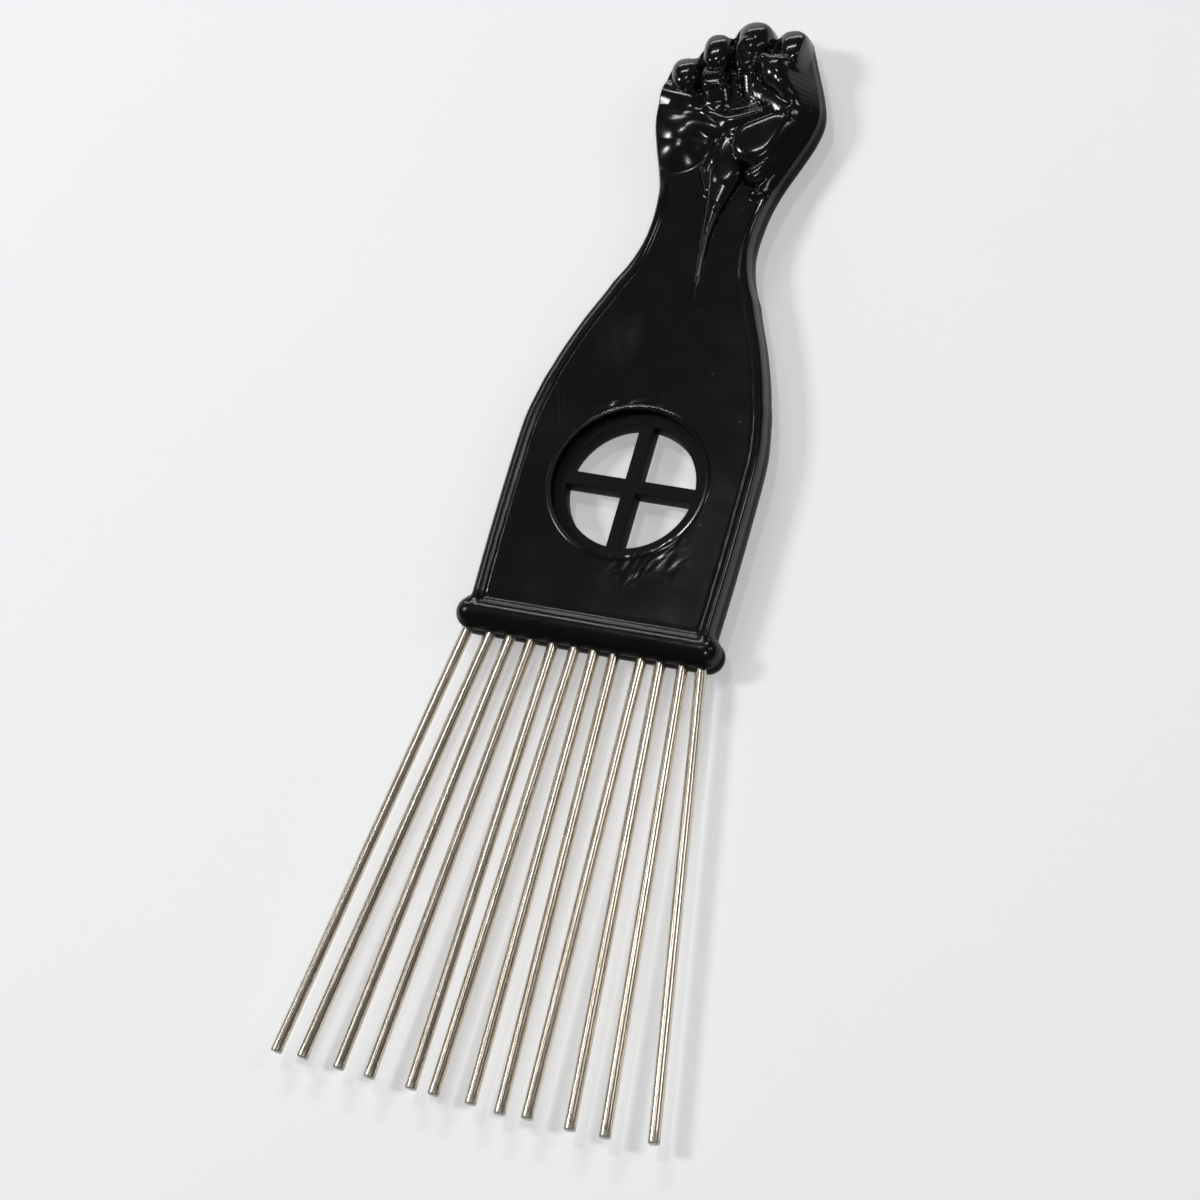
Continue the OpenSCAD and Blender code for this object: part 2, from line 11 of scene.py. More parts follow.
import bmesh
import bpy
import numpy as np
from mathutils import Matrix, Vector


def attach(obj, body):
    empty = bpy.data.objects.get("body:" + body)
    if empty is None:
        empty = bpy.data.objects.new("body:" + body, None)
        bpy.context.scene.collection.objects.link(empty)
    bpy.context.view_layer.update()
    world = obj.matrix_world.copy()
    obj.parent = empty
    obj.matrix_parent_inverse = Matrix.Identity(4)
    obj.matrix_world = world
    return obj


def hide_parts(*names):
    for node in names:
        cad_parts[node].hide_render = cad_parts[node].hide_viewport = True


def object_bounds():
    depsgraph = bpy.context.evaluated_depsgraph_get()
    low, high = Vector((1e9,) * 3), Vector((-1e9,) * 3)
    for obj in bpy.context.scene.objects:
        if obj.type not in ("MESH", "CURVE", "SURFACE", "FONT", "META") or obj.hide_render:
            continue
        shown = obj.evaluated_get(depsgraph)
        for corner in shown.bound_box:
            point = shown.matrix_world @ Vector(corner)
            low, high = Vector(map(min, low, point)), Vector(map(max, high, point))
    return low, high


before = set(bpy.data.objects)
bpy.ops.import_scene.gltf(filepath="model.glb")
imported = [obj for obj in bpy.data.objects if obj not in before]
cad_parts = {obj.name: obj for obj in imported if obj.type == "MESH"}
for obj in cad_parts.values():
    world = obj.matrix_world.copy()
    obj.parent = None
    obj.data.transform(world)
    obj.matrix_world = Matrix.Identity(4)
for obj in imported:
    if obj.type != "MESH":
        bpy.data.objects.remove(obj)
CAD_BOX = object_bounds()
LOG = logging.getLogger("afro_pick")

Pair = tuple[float, float]
Triple = tuple[float, float, float]
Value = float | bpy.types.NodeSocket

MM = 0.001
TINY = 1e-6
BODY = "root"
# Middle of the window, and how far the face of its ring stands above the parting plane
WINDOW_Y = 32.6
RING_LEVEL = 1.5
MIDDLE = np.array([0.0, WINDOW_Y])
# The part's own origin is the middle of that face
ORIGIN = np.array([0.0, WINDOW_Y, RING_LEVEL])

# Half width of the handle on its way from the bar to the wrist: share of the way, and share of what the
# handle is wider than the wrist
SIDE = np.array([[0, 0.98], [0.2, 1], [0.42, 1], [0.5, 0.98], [0.5625, 0.916], [0.625, 0.823], [0.75, 0.585],
                 [0.875, 0.276], [0.9375, 0.095], [1, 0]])
# Outline of the hand past the wrist: little finger's side and thumb's side
LEFT = np.array([[-12, 0], [-11.7, 5], [-12.2, 11], [-13.9, 16.5], [-15.8, 22], [-17, 27.5], [-17.2, 33],
                 [-16.7, 37.8], [-15.59, 40.68]])
RIGHT = np.array([[12, 0], [11.9, 4], [12.6, 10], [14.2, 16], [16.4, 22], [18.2, 27.5], [18.8, 32.5],
                  [17.4, 37.5], [14.9, 43], [12.95, 47.2], [11.64, 50.04]])
# Round tops of the four fingers: x, y and radius
TOPS = np.array([[-12.9, 38, 3.8], [-7.2, 44.4, 3.6], [0, 47.6, 4.8], [8.6, 47, 4.3]])

# Swellings of the hand. A row gives both ends, both radii, the rise of the crest at both ends, how far the
# crest arches up between them, how far the sides fall, the power of the section, and how softly it joins the
# rest. y counts from the wrist.
PALM = np.array([
    # Heel of the palm and the saddle beside it
    [-10.4, 27, -10.2, 21.6, 9.6, 7.4, 2.8, 2.5, 0.4, 7, 2, 2],
    [-8, 27, 2.4, 25.4, 2.8, 2.4, 2.4, 1.9, 0, 2.4, 2, 1.8],
    # Fold where the fingers end
    [-12.6, 29.4, -6.6, 29, 1.7, 1.7, 2.4, 2.4, 0, 2.2, 2, 1],
    [-6.6, 29, -0.4, 27.8, 1.7, 2, 2.4, 2.7, 0, 2.2, 2, 1],
    [-0.4, 27.4, 6.6, 30.4, 2.9, 2.5, 2.8, 3.2, 0, 2.4, 1.7, 0.6],
    # Middle of the palm, which runs down the wrist as a narrow pointed blade
    [0.5, 23.6, 2.1, 16, 1.4, 3.6, 2.1, 2.5, 0.3, 2.2, 3.2, 0.5],
    [2.1, 16, 1.5, 8, 3.6, 1.8, 2.5, 1.6, 0, 2, 3, 0.5],
    [1.5, 8, 1.4, 1, 1.8, 1, 1.6, 1.1, 0, 1.6, 2.6, 0.4],
    [1.4, 1, 2.5, -12.3, 1, 0.3, 1.1, 0, 0.1, 1, 2.2, 0.3],
    [-0.8, 21.8, -2, 16.6, 2, 2.1, 2, 1.7, 0.1, 1.8, 2, 0.3],
    [-2, 16.6, -0.8, 11.6, 2.1, 1.1, 1.7, 1.3, 0, 1.5, 2, 0.3],
    # Ball of the thumb and the folds below it
    [6.7, 23.4, 10.8, 26.2, 5.3, 5, 3.9, 4.1, 0, 4.2, 4, 0.25],
    [8, 16.4, 16, 24, 2.3, 2.6, 2.5, 2.8, 0, 2.8, 2.2, 0.3],
    [9.4, 12.6, 13.6, 16.4, 1.6, 2, 1.2, 1.7, 0, 1.6, 2, 0.6],
    # Finger ends tucked into the palm
    [-17, 32.6, -9.6, 31.2, 3.2, 3, 2.3, 2.7, 0.3, 3.4, 2, 1.8],
    [-5.9, 37, -3.8, 31.4, 3.5, 3.2, 4, 2.4, 0.2, 4, 3, 0.6],
    [-7.2, 36.6, -4.5, 37.3, 1.5, 1.5, 4.5, 4.5, 0, 2.4, 2, 0.5],
    [-6.7, 34.7, -3.9, 35.2, 1.5, 1.5, 3.9, 3.9, 0, 2.4, 2, 0.5],
    [-1.9, 42, 1.4, 32.6, 0.8, 0.7, 3.7, 2.2, 0.2, 2.4, 2, 0.2],
    [1.6, 38.8, 3, 33.6, 3, 2.8, 2.9, 1.6, 0, 3.4, 2, 0.6],
    [6.4, 36.4, 11.4, 33.6, 3.6, 4, 2.3, 3, 0.2, 2.6, 2, 2.4],
    # Side of the forefinger
    [12.4, 43.4, 14.2, 35.8, 4, 4, 3.9, 3.2, 0, 3.4, 1.5, 0.4],
    # Folds at the thumb's root
    [15.2, 27, 16.8, 28.2, 1.9, 1.9, 2.9, 2.6, 0, 3, 2.4, 0.3],
    [13, 31, 16, 30.2, 3, 3, 4, 3.3, 0, 4, 2.6, 0.3],
    # Thumb, from its tip over the knuckle to its root
    [4.2, 41.8, 7.6, 39.9, 2.4, 4.4, 5.1, 5.7, 0.1, 4.6, 2.2, 0.3],
    [7.6, 39.9, 11, 38, 4.4, 4.4, 5.7, 5.8, 0, 4.6, 2.2, 0.8],
    [11, 38, 13.6, 35.2, 4.4, 3.6, 5.8, 4.6, 0, 4.4, 2.2, 0.8]])
FINGERS = np.array([
    [-13.7, 42, -11.8, 35.9, 4.2, 3.7, 0.7, 4.4, 0.9, 8, 3, 0.3],
    [-7.9, 49.2, -6.2, 41, 4, 3.6, 0.5, 5, 1, 8, 3, 0.3],
    [-0.4, 52.6, 0.7, 46, 5.2, 4.4, 0.6, 4.5, 0.8, 8, 2.6, 0.3],
    [-0.2, 44, 0.4, 41.6, 3.8, 3.6, 4.3, 4.1, 0, 8, 3.2, 1.4],
    [8, 52, 9.8, 44.2, 4.6, 4.2, 0.4, 4.4, 1, 8, 2.8, 0.3]])
BACK = np.array([
    [-7, 29, 6, 30, 10.2, 10.4, 1.7, 1.8, 0, 2.6, 2.6, 1.5],
    [0, 16, 0, 26, 9, 11.5, 1, 1.7, 0, 2.2, 2.6, 1.5],
    [15.2, 38, 15.4, 29, 2.9, 3.1, 0.9, 0.7, 0, 2.4, 2, 1],
    [-10.6, 34, -5.4, 20, 1.5, 0.9, 2, 1.4, 0, 1.2, 2, 1],
    [-5.6, 38, -2.4, 20, 1.6, 0.9, 2.1, 1.4, 0, 1.2, 2, 1],
    [-0.4, 39, 0.4, 20, 1.7, 0.9, 2.2, 1.4, 0, 1.2, 2, 1],
    [6.2, 38, 3.2, 20, 1.6, 0.9, 2.1, 1.4, 0, 1.2, 2, 1]])
KNUCKLES = np.array([
    [-12.9, 38, -11.3, 33.6, 3.8, 3.9, 1.6, 1.7, 0, 5, 2, 0.6],
    [-7.2, 44.4, -6, 38.2, 3.6, 3.8, 1.9, 2, 0, 5, 2, 0.6],
    [0, 47.6, -0.3, 40, 4.8, 4.4, 2.05, 2.05, 0, 5, 2, 0.6],
    [8.6, 47, 6.6, 39.4, 4.3, 4.2, 2.05, 2.05, 0, 5, 2, 0.6]])

# Places across the row of pins, lean in degrees, and how far each sits towards the handle
PIN_SHIFT = (-0.13, -0.01, -0.06, -0.05, -0.03, 0.02, -0.07, -0.13, 0.17, 0.04, 0.07, -0.1)
PIN_LEAN = (-8, -7.6, -5.4, -4.1, -1.5, -1.4, 0.8, 2, 1.9, 4.8, 6.3, 9.8)
PIN_SLIP = (0.7, 0.7, 0.6, 0.5, 0.4, 0.3, 0.2, -0.1, 0, -0.3, -0.4, -0.4)


class Half(Enum):
    """The two mouldings of the handle."""

    FRONT = 1
    REAR = -1


class Curve:
    """Number rules that the shapes share, all on whole arrays."""

    @staticmethod
    def spline(points: np.ndarray, t: np.ndarray) -> np.ndarray:
        """Follows a smooth curve through all points: the Catmull-Rom cubic between neighbours.

        Args:
            points: the places the curve passes, one row each.
            t: from 0 at the first place to 1 at the last.

        Returns:
            One row of coordinates for each t.
        """
        n = len(points) - 1
        s = np.clip(t, 0, 1) * n
        i = np.minimum(s.astype(int), n - 1)
        f = (s - i)[..., None]
        a, b, c, d = points[np.maximum(i - 1, 0)], points[i], points[i + 1], points[np.minimum(i + 2, n)]
        return (2 * b + (c - a) * f + (2 * a - 5 * b + 4 * c - d) * f**2 + (3 * b - a - 3 * c + d) * f**3) / 2

    @staticmethod
    def ease(a: float, b: float, x: np.ndarray) -> np.ndarray:
        """Rises smoothly from 0 at a to 1 at b."""
        t = np.clip((x - a) / (b - a), 0, 1)
        return t * t * (3 - 2 * t)

    @staticmethod
    def join(a: np.ndarray, b: np.ndarray, soft: float) -> np.ndarray:
        """Takes the higher of two surfaces and rounds the valley between them over a soft width."""
        h = np.maximum(soft - np.abs(a - b), 0) / soft
        return np.maximum(a, b) + h * h * soft / 4

    @staticmethod
    def quarter_round(distance: np.ndarray, radius: np.ndarray | float) -> np.ndarray:
        """Rises as a quarter circle from 0 at an edge to 1 at a radius from it."""
        return np.sqrt(1 - np.clip(1 - distance / radius, 0, 1) ** 2)

    @staticmethod
    def crowd(n: int, k: float) -> np.ndarray:
        """Gives n shares from 0 to 1 that crowd together at both ends: s - k sin(2 pi s) / (2 pi)."""
        s = np.linspace(0, 1, n)
        return s - k * np.sin(2 * np.pi * s) / (2 * np.pi)

    @staticmethod
    def crowd_end(n: int, k: float) -> np.ndarray:
        """Gives n shares from 0 to 1 that crowd together at the far end: s + k sin(pi s) / pi."""
        s = np.linspace(0, 1, n)
        return s + k * np.sin(np.pi * s) / np.pi


@dataclass(frozen=True)
class Outline:
    """Plan outline of the handle: straight flanks, narrow wrist, round finger tops."""

    handle_half: float = 26.7
    wrist_y: float = 88.0
    wrist_half: float = 12.0
    valley: float = 1.2  # how softly the finger tops meet
    top_fall: float = 3.0  # slope beside the circle of a finger top
    below: float = 3.0  # how far the flanks run on under the bar
    side_points: int = 49
    top_points: int = 129
    block: int = 20000  # places measured at a time

    def half_width(self, y: np.ndarray) -> np.ndarray:
        """Gives the half width of the handle, along the smooth curve through SIDE.

        Args:
            y: distances from the bar.

        Returns:
            The half width at each.
        """
        t = np.clip(y / self.wrist_y, 0, 1)
        place = np.interp(t, SIDE[:, 0], np.linspace(0, 1, len(SIDE)))
        share = Curve.spline(SIDE, place)[..., 1]
        return self.wrist_half + (self.handle_half - self.wrist_half) * share

    def hand_side(self, points: np.ndarray, t: np.ndarray) -> np.ndarray:
        """Gives places along one side of the hand, t from 0 at the wrist to 1 at the finger tops."""
        return Curve.spline(points, t) + np.array([0, self.wrist_y])

    def finger_top(self, x: np.ndarray) -> np.ndarray:
        """Gives the upper edge: circle tops joined by short soft valleys.

        Args:
            x: places across.

        Returns:
            The edge's distance from the bar at each.
        """
        out = None
        for cx, cy, r in TOPS[::-1]:
            gap = np.abs(x - cx) - r
            arc = np.where(gap < 0, np.sqrt(np.maximum(r * r - (x - cx) ** 2, 0)), -self.top_fall * gap)
            out = cy + arc if out is None else Curve.join(cy + arc, out, self.valley)
        return self.wrist_y + out

    def loop(self) -> np.ndarray:
        """Gives the open outline from the bar's left end over the fingers to its right end.

        Returns:
            One row of x and y for each point.
        """
        t = np.linspace(0, 1, self.side_points)
        low = -self.below + (self.wrist_y + self.below) * t[:-1]
        left, right = self.hand_side(LEFT, t), self.hand_side(RIGHT, t)
        x = left[-1, 0] + (right[-1, 0] - left[-1, 0]) * np.linspace(0, 1, self.top_points)[1:-1]
        flank = self.half_width(low)
        return np.concatenate([np.stack([-flank, low], -1), left, np.stack([x, self.finger_top(x)], -1),
                               right[::-1], np.stack([flank, low], -1)[::-1]])

    def to_edge(self, x: np.ndarray, y: np.ndarray) -> np.ndarray:
        """Gives the distance from each place to the nearest straight stretch of the outline.

        Args:
            x: places across.
            y: places up from the bar.

        Returns:
            Distances in the shape of x.
        """
        places = np.stack([x.ravel(), y.ravel()], -1)
        loop = self.loop()
        start, step = loop[:-1], np.diff(loop, axis=0)
        square = np.maximum((step * step).sum(-1), TINY**2)
        best = np.full(len(places), np.inf)
        for part in np.array_split(np.arange(len(places)), max(1, len(places) // self.block)):
            away = places[part, None] - start[None]
            t = np.clip((away * step[None]).sum(-1) / square[None], 0, 1)
            best[part] = np.sqrt(((away - step[None] * t[..., None]) ** 2).sum(-1).min(-1))
        return best.reshape(x.shape)


@dataclass(frozen=True)
class Bar:
    """Round bar at the handle's foot: one bead on each half shell."""

    half: float = 28.6
    radius: float = 3.4
    rise: float = 1.4  # how far a bead's middle stands off the parting plane


@dataclass(frozen=True)
class Skin:
    """Height of one moulding's outer face over the parting plane.

    A pair says where something starts and where it is complete, across or up from the wrist.
    """

    half: Half
    panel: float
    outline: Outline = Outline()
    bar: Bar = Bar()
    hand_up: Pair = (0.0, 16.0)
    palm_rise: float = 1.4
    palm_up: Pair = (19.0, 26.0)
    apron: float = 2.5  # slope at the foot of a swelling
    edge_r: float = 1.5  # rounding of the edge, along the handle and on both sides of the hand
    palm_edge_r: float = 0.9
    back_edge_r: float = 2.5
    rim_w: float = 3.0
    rim_rise: float = 0.75
    rim_turn: float = 0.9  # where the rim's circle ends, and its slope there
    rim_slope: float = 4.13
    rim_soft: float = 0.2
    rim_thin: float = 0.2  # how much narrower it is at the wrist
    rim_thin_up: Pair = (-9.0, 0.0)
    rim_end_up: Pair = (6.0, 15.0)
    wall: float = 1.9  # low wall on the thumb's side, and the slope above it
    wall_slope: float = 1.1
    wall_x: Pair = (1.0, 7.0)
    wall_lean: float = 0.05
    wall_free: float = 8.0  # how far out of reach it is elsewhere
    wall_soft: float = 1.4
    cap_up: Pair = (40.0, 47.0)  # round top of the forefinger, which it spares
    cap_x: Pair = (10.0, 13.0)
    bead_reach: float = 6.0  # how far up the bar shapes the panel, how steeply and how softly
    bead_fall: float = 3.0
    bead_sink: float = 0.03
    fillet: float = 0.8

    def limbs(self, z: np.ndarray, rows: np.ndarray, x: np.ndarray, y: np.ndarray) -> np.ndarray:
        """Joins a table of swellings onto a surface.

        Each one is highest along a straight spine and falls to its sides as 1 - (1 - q^p)^(1/p), where q is
        the distance from the spine over the radius.

        Args:
            z: the surface so far.
            rows: the table.
            x: places across.
            y: places up from the wrist.

        Returns:
            The joined surface.
        """
        for x0, y0, x1, y1, r0, r1, z0, z1, arch, drop, power, soft in rows:
            e = np.array([x1 - x0, y1 - y0])
            t = np.clip(((x - x0) * e[0] + (y - y0) * e[1]) / (e @ e), 0, 1)
            d = np.hypot(x - x0 - e[0] * t, y - y0 - e[1] * t)
            r = r0 + (r1 - r0) * t
            q = np.minimum(d / r, 1)
            crest = self.panel + z0 + (z1 - z0) * t + 4 * arch * t * (1 - t)
            fall = drop * (1 - (1 - q**power) ** (1 / power)) + self.apron * np.maximum(d - r, 0)
            z = Curve.join(z, crest - fall, soft)
        return z

    def rim(self, d: np.ndarray, width: np.ndarray) -> np.ndarray:
        """Raises a half round bead along the edge, as high as sqrt(1 - q^2) across its width.

        Its inner foot leaves the circle along the tangent and runs softly into the panel.

        Args:
            d: distance from the outline.
            width: the bead's width at each place.

        Returns:
            Heights over the panel.
        """
        q = np.clip(2 * d / width - 1, -1, self.rim_turn)
        foot = np.maximum(d - (1 + self.rim_turn) / 2 * width, 0) * self.rim_slope * self.rim_rise / width
        return Curve.join(self.rim_rise * np.sqrt(1 - q * q) - foot, 0 * d, self.rim_soft)

    def shoulder(self, d: np.ndarray, x: np.ndarray, up: np.ndarray) -> np.ndarray:
        """Gives the greatest height near the thumb's side, which slopes down steeply to a low wall.

        Args:
            d: distance from the outline.
            x: places across.
            up: places up from the wrist.

        Returns:
            Heights, out of reach elsewhere and at the forefinger's round top.
        """
        cap = Curve.ease(*self.cap_up, up) * (1 - Curve.ease(*self.cap_x, x))
        side = Curve.ease(*self.wall_x, x - self.wall_lean * up) * (1 - cap)
        return self.wall + self.wall_slope * d + (1 - side * Curve.ease(*self.hand_up, up)) * self.wall_free

    def height(self, x: np.ndarray, y: np.ndarray) -> np.ndarray:
        """Gives the height over each place.

        Panel and swellings are added up, limited on the thumb's side, rounded off at the outline, and
        joined to the bar.

        Args:
            x: places across.
            y: places up from the bar.

        Returns:
            Heights over the parting plane, 0 on the outline.
        """
        d = self.outline.to_edge(x, y)
        up = y - self.outline.wrist_y
        front = self.half is Half.FRONT
        z = self.panel + (self.palm_rise if front else 0) * Curve.ease(*self.palm_up, up)
        z = self.limbs(z, PALM if front else BACK, x, up)
        width = self.rim_w * (1 - self.rim_thin * Curve.ease(*self.rim_thin_up, up))
        z = z + self.rim(d, width) * (1 - Curve.ease(*self.rim_end_up, up))
        z = self.limbs(z, FINGERS if front else KNUCKLES, x, up)
        if front:
            z = -Curve.join(-z, -self.shoulder(d, x, up), self.wall_soft)
        hand_r = self.palm_edge_r if front else self.back_edge_r
        z = z * Curve.quarter_round(d, self.edge_r + (hand_r - self.edge_r) * Curve.ease(*self.hand_up, up))
        bead = self.bar.rise + np.sqrt(np.maximum(self.bar.radius**2 - y**2, 0))
        bead = bead - self.bead_fall * np.maximum(y - self.bar.radius, 0)
        fillet = Curve.join(z, bead - self.bead_sink, self.fillet)
        return np.where((y < self.bead_reach) & (d > 0), np.maximum(fillet, z), z)


class MeshParts:
    """Collects grids and rings of one piece and makes a closed mesh of them."""

    def __init__(self) -> None:
        """Starts with nothing."""
        self.verts: list[np.ndarray] = []
        self.faces: list[np.ndarray] = []
        self.plates: list[np.ndarray] = []
        self.count = 0

    def grid(self, points: np.ndarray, flip: bool = False, closed: bool = False) -> np.ndarray:
        """Adds a grid of points and the quads between them. A single row adds its points alone.

        Args:
            points: rows, columns and three coordinates.
            flip: turns the faces round.
            closed: joins the last column to the first.

        Returns:
            The index of each point.
        """
        n, m = points.shape[:2]
        index = self.count + np.arange(n * m).reshape(n, m)
        self.count += n * m
        self.verts.append(points.reshape(-1, 3))
        lines = np.concatenate([index, index[:, :1]], 1) if closed else index
        quads = np.stack([lines[:-1, :-1], lines[:-1, 1:], lines[1:, 1:], lines[1:, :-1]], -1).reshape(-1, 4)
        self.faces.append(quads[:, ::-1] if flip else quads)
        return index

    def plate(self, index: np.ndarray) -> None:
        """Closes a flat loop of points with one face."""
        self.plates.append(index)

    def make(self, name: str, material: bpy.types.Material, uv: np.ndarray | None = None) -> bpy.types.Object:
        """Makes the object, in metres in the part's frame.

        Args:
            name: the piece's name.
            material: the finish.
            uv: one pair for each point, or None.

        Returns:
            The new object, at the origin.
        """
        verts = (np.concatenate(self.verts) - ORIGIN) * MM
        quads = np.concatenate(self.faces)
        loops = np.concatenate([quads.ravel()] + self.plates).astype(np.int32)
        sizes = np.concatenate([np.full(len(quads), 4)] + [np.array([len(p)]) for p in self.plates])
        starts = np.concatenate([[0], np.cumsum(sizes)[:-1]]).astype(np.int32)
        mesh = bpy.data.meshes.new(name)
        mesh.vertices.add(len(verts))
        mesh.vertices.foreach_set("co", verts.ravel())
        mesh.loops.add(len(loops))
        mesh.loops.foreach_set("vertex_index", loops)
        mesh.polygons.add(len(sizes))
        mesh.polygons.foreach_set("loop_start", starts)
        mesh.polygons.foreach_set("use_smooth", np.ones(len(sizes), bool))
        if uv is not None:
            mesh.uv_layers.new(name="along").data.foreach_set("uv", uv[loops].ravel())
        mesh.update(calc_edges=True)
        mesh.validate()
        mesh.materials.append(material)
        obj = bpy.data.objects.new(name, mesh)
        bpy.context.scene.collection.objects.link(obj)
        return obj


class Weld:
    """Joins doubled points of a piece and keeps its true creases sharp."""

    @staticmethod
    def finish(obj: bpy.types.Object, crease: float, gap: float = 2e-6) -> None:
        """Merges doubles, turns all faces outwards and marks edges that bend more than the crease angle.

        Args:
            obj: the piece.
            crease: the angle in radians.
            gap: the distance in metres within which points are one.
        """
        bm = bmesh.new()
        bm.from_mesh(obj.data)
        bmesh.ops.remove_doubles(bm, verts=bm.verts, dist=gap)
        bmesh.ops.dissolve_degenerate(bm, edges=bm.edges, dist=gap / 4)
        bmesh.ops.recalc_face_normals(bm, faces=bm.faces)
        for edge in bm.edges:
            edge.smooth = not (edge.is_manifold and edge.calc_face_angle(0) > crease)
        bm.to_mesh(obj.data)
        bm.free()


class Sheet:
    """Adds and joins the nodes of one material or node group."""

    def __init__(self, tree: bpy.types.NodeTree) -> None:
        """Keeps the tree."""
        self.tree = tree

    @staticmethod
    def material(name: str) -> tuple[bpy.types.Material, "Sheet", bpy.types.Node]:
        """Starts a material.

        Args:
            name: its name.

        Returns:
            The material, the sheet of its nodes, and its shader.
        """
        material = bpy.data.materials.new(name)
        material.use_nodes = True
        return material, Sheet(material.node_tree), material.node_tree.nodes["Principled BSDF"]

    def add(self, kind: str, inputs: dict | None = None, **settings: object) -> bpy.types.Node:
        """Adds a node.

        Args:
            kind: the node's type.
            inputs: a value or another node's output for each named or numbered input.
            **settings: the node's own settings.

        Returns:
            The new node.
        """
        node = self.tree.nodes.new(kind)
        for key, value in settings.items():
            setattr(node, key, value)
        for key, value in (inputs or {}).items():
            if isinstance(value, bpy.types.NodeSocket):
                self.link(value, node, key)
            else:
                node.inputs[key].default_value = value
        return node

    def link(self, value: Value, node: bpy.types.Node, key: str | int) -> None:
        """Leads a node's output to another node's input."""
        self.tree.links.new(value, node.inputs[key])

    def math(self, operation: str, *values: Value, clamp: bool = False) -> Value:
        """Takes values together one after the other, by a sum, product or other rule.

        Args:
            operation: the rule's name on the Math node.
            *values: numbers or outputs. A single one stands alone, as for a square root.
            clamp: holds each result between 0 and 1.

        Returns:
            The last result.
        """
        result = values[0]
        for value in values[1:] or (0.0,):
            pair = {0: result, 1: value}
            result = self.add("ShaderNodeMath", pair, operation=operation, use_clamp=clamp).outputs[0]
        return result

    def times(self, *values: Value) -> Value:
        """Multiplies values."""
        return self.math("MULTIPLY", *values)

    def plus(self, *values: Value, clamp: bool = False) -> Value:
        """Adds values."""
        return self.math("ADD", *values, clamp=clamp)

    def total(self, start: Value, *parts: tuple[Value, float]) -> Value:
        """Adds parts to a value, each times its own weight."""
        return self.plus(start, *(self.times(part, weight) for part, weight in parts))

    def span(self, value: Value, low: float, high: float, out_low: float = 0.0,
             out_high: float = 1.0) -> Value:
        """Carries a value from one range to another, held within it."""
        inputs = {"Value": value, "From Min": low, "From Max": high, "To Min": out_low, "To Max": out_high}
        return self.add("ShaderNodeMapRange", inputs).outputs["Result"]

    def ramp(self, value: Value, limits: Pair) -> Value:
        """Rises from 0 to 1 between two places, which are given in millimetres."""
        return self.span(value, limits[0] * MM, limits[1] * MM)

    def disc(self, plan: tuple[Value, Value], middle: Pair, radius: float, soft: float) -> Value:
        """Gives 1 inside a circle in the plan and 0 outside, with a soft edge within it.

        Args:
            plan: the places across and along, in metres.
            middle: the circle's middle in millimetres.
            radius: its radius in millimetres.
            soft: the width of its edge in millimetres.

        Returns:
            The mask.
        """
        a, b = (self.math("SUBTRACT", v, m * MM) for v, m in zip(plan, middle))
        distance = self.math("SQRT", self.plus(self.times(a, a), self.times(b, b)))
        return self.ramp(distance, (radius, radius - soft))

    def noise(self, vector: Value, scale: float, detail: float, distortion: float = 0.0,
              roughness: float = 0.5) -> Value:
        """Adds cloudy noise and gives its value."""
        inputs = {"Vector": vector, "Scale": scale, "Detail": detail, "Distortion": distortion,
                  "Roughness": roughness}
        return self.add("ShaderNodeTexNoise", inputs).outputs["Fac"]

    def mapped(self, vector: Value, scale: Triple, turn: float = 0.0, kind: str = "POINT") -> Value:
        """Scales a pattern's places. As a TEXTURE the pattern is turned first and then drawn out."""
        inputs = {"Vector": vector, "Rotation": (0.0, 0.0, turn), "Scale": scale}
        return self.add("ShaderNodeMapping", inputs, vector_type=kind).outputs[0]

    def mix(self, share: Value, first: Triple | Value, second: Triple) -> Value:
        """Mixes two colours."""
        start = first if isinstance(first, bpy.types.NodeSocket) else (*first, 1.0)
        return self.add("ShaderNodeMix", {"Factor": share, 6: start, 7: (*second, 1.0)},
                        data_type="RGBA").outputs[2]

    def bump(self, shader: bpy.types.Node, height: Value, strength: float, depth: float) -> None:
        """Gives a shader fine relief, with its depth in millimetres."""
        node = self.add("ShaderNodeBump", {"Strength": strength, "Distance": depth * MM, "Height": height})
        self.link(node.outputs[0], shader, "Normal")


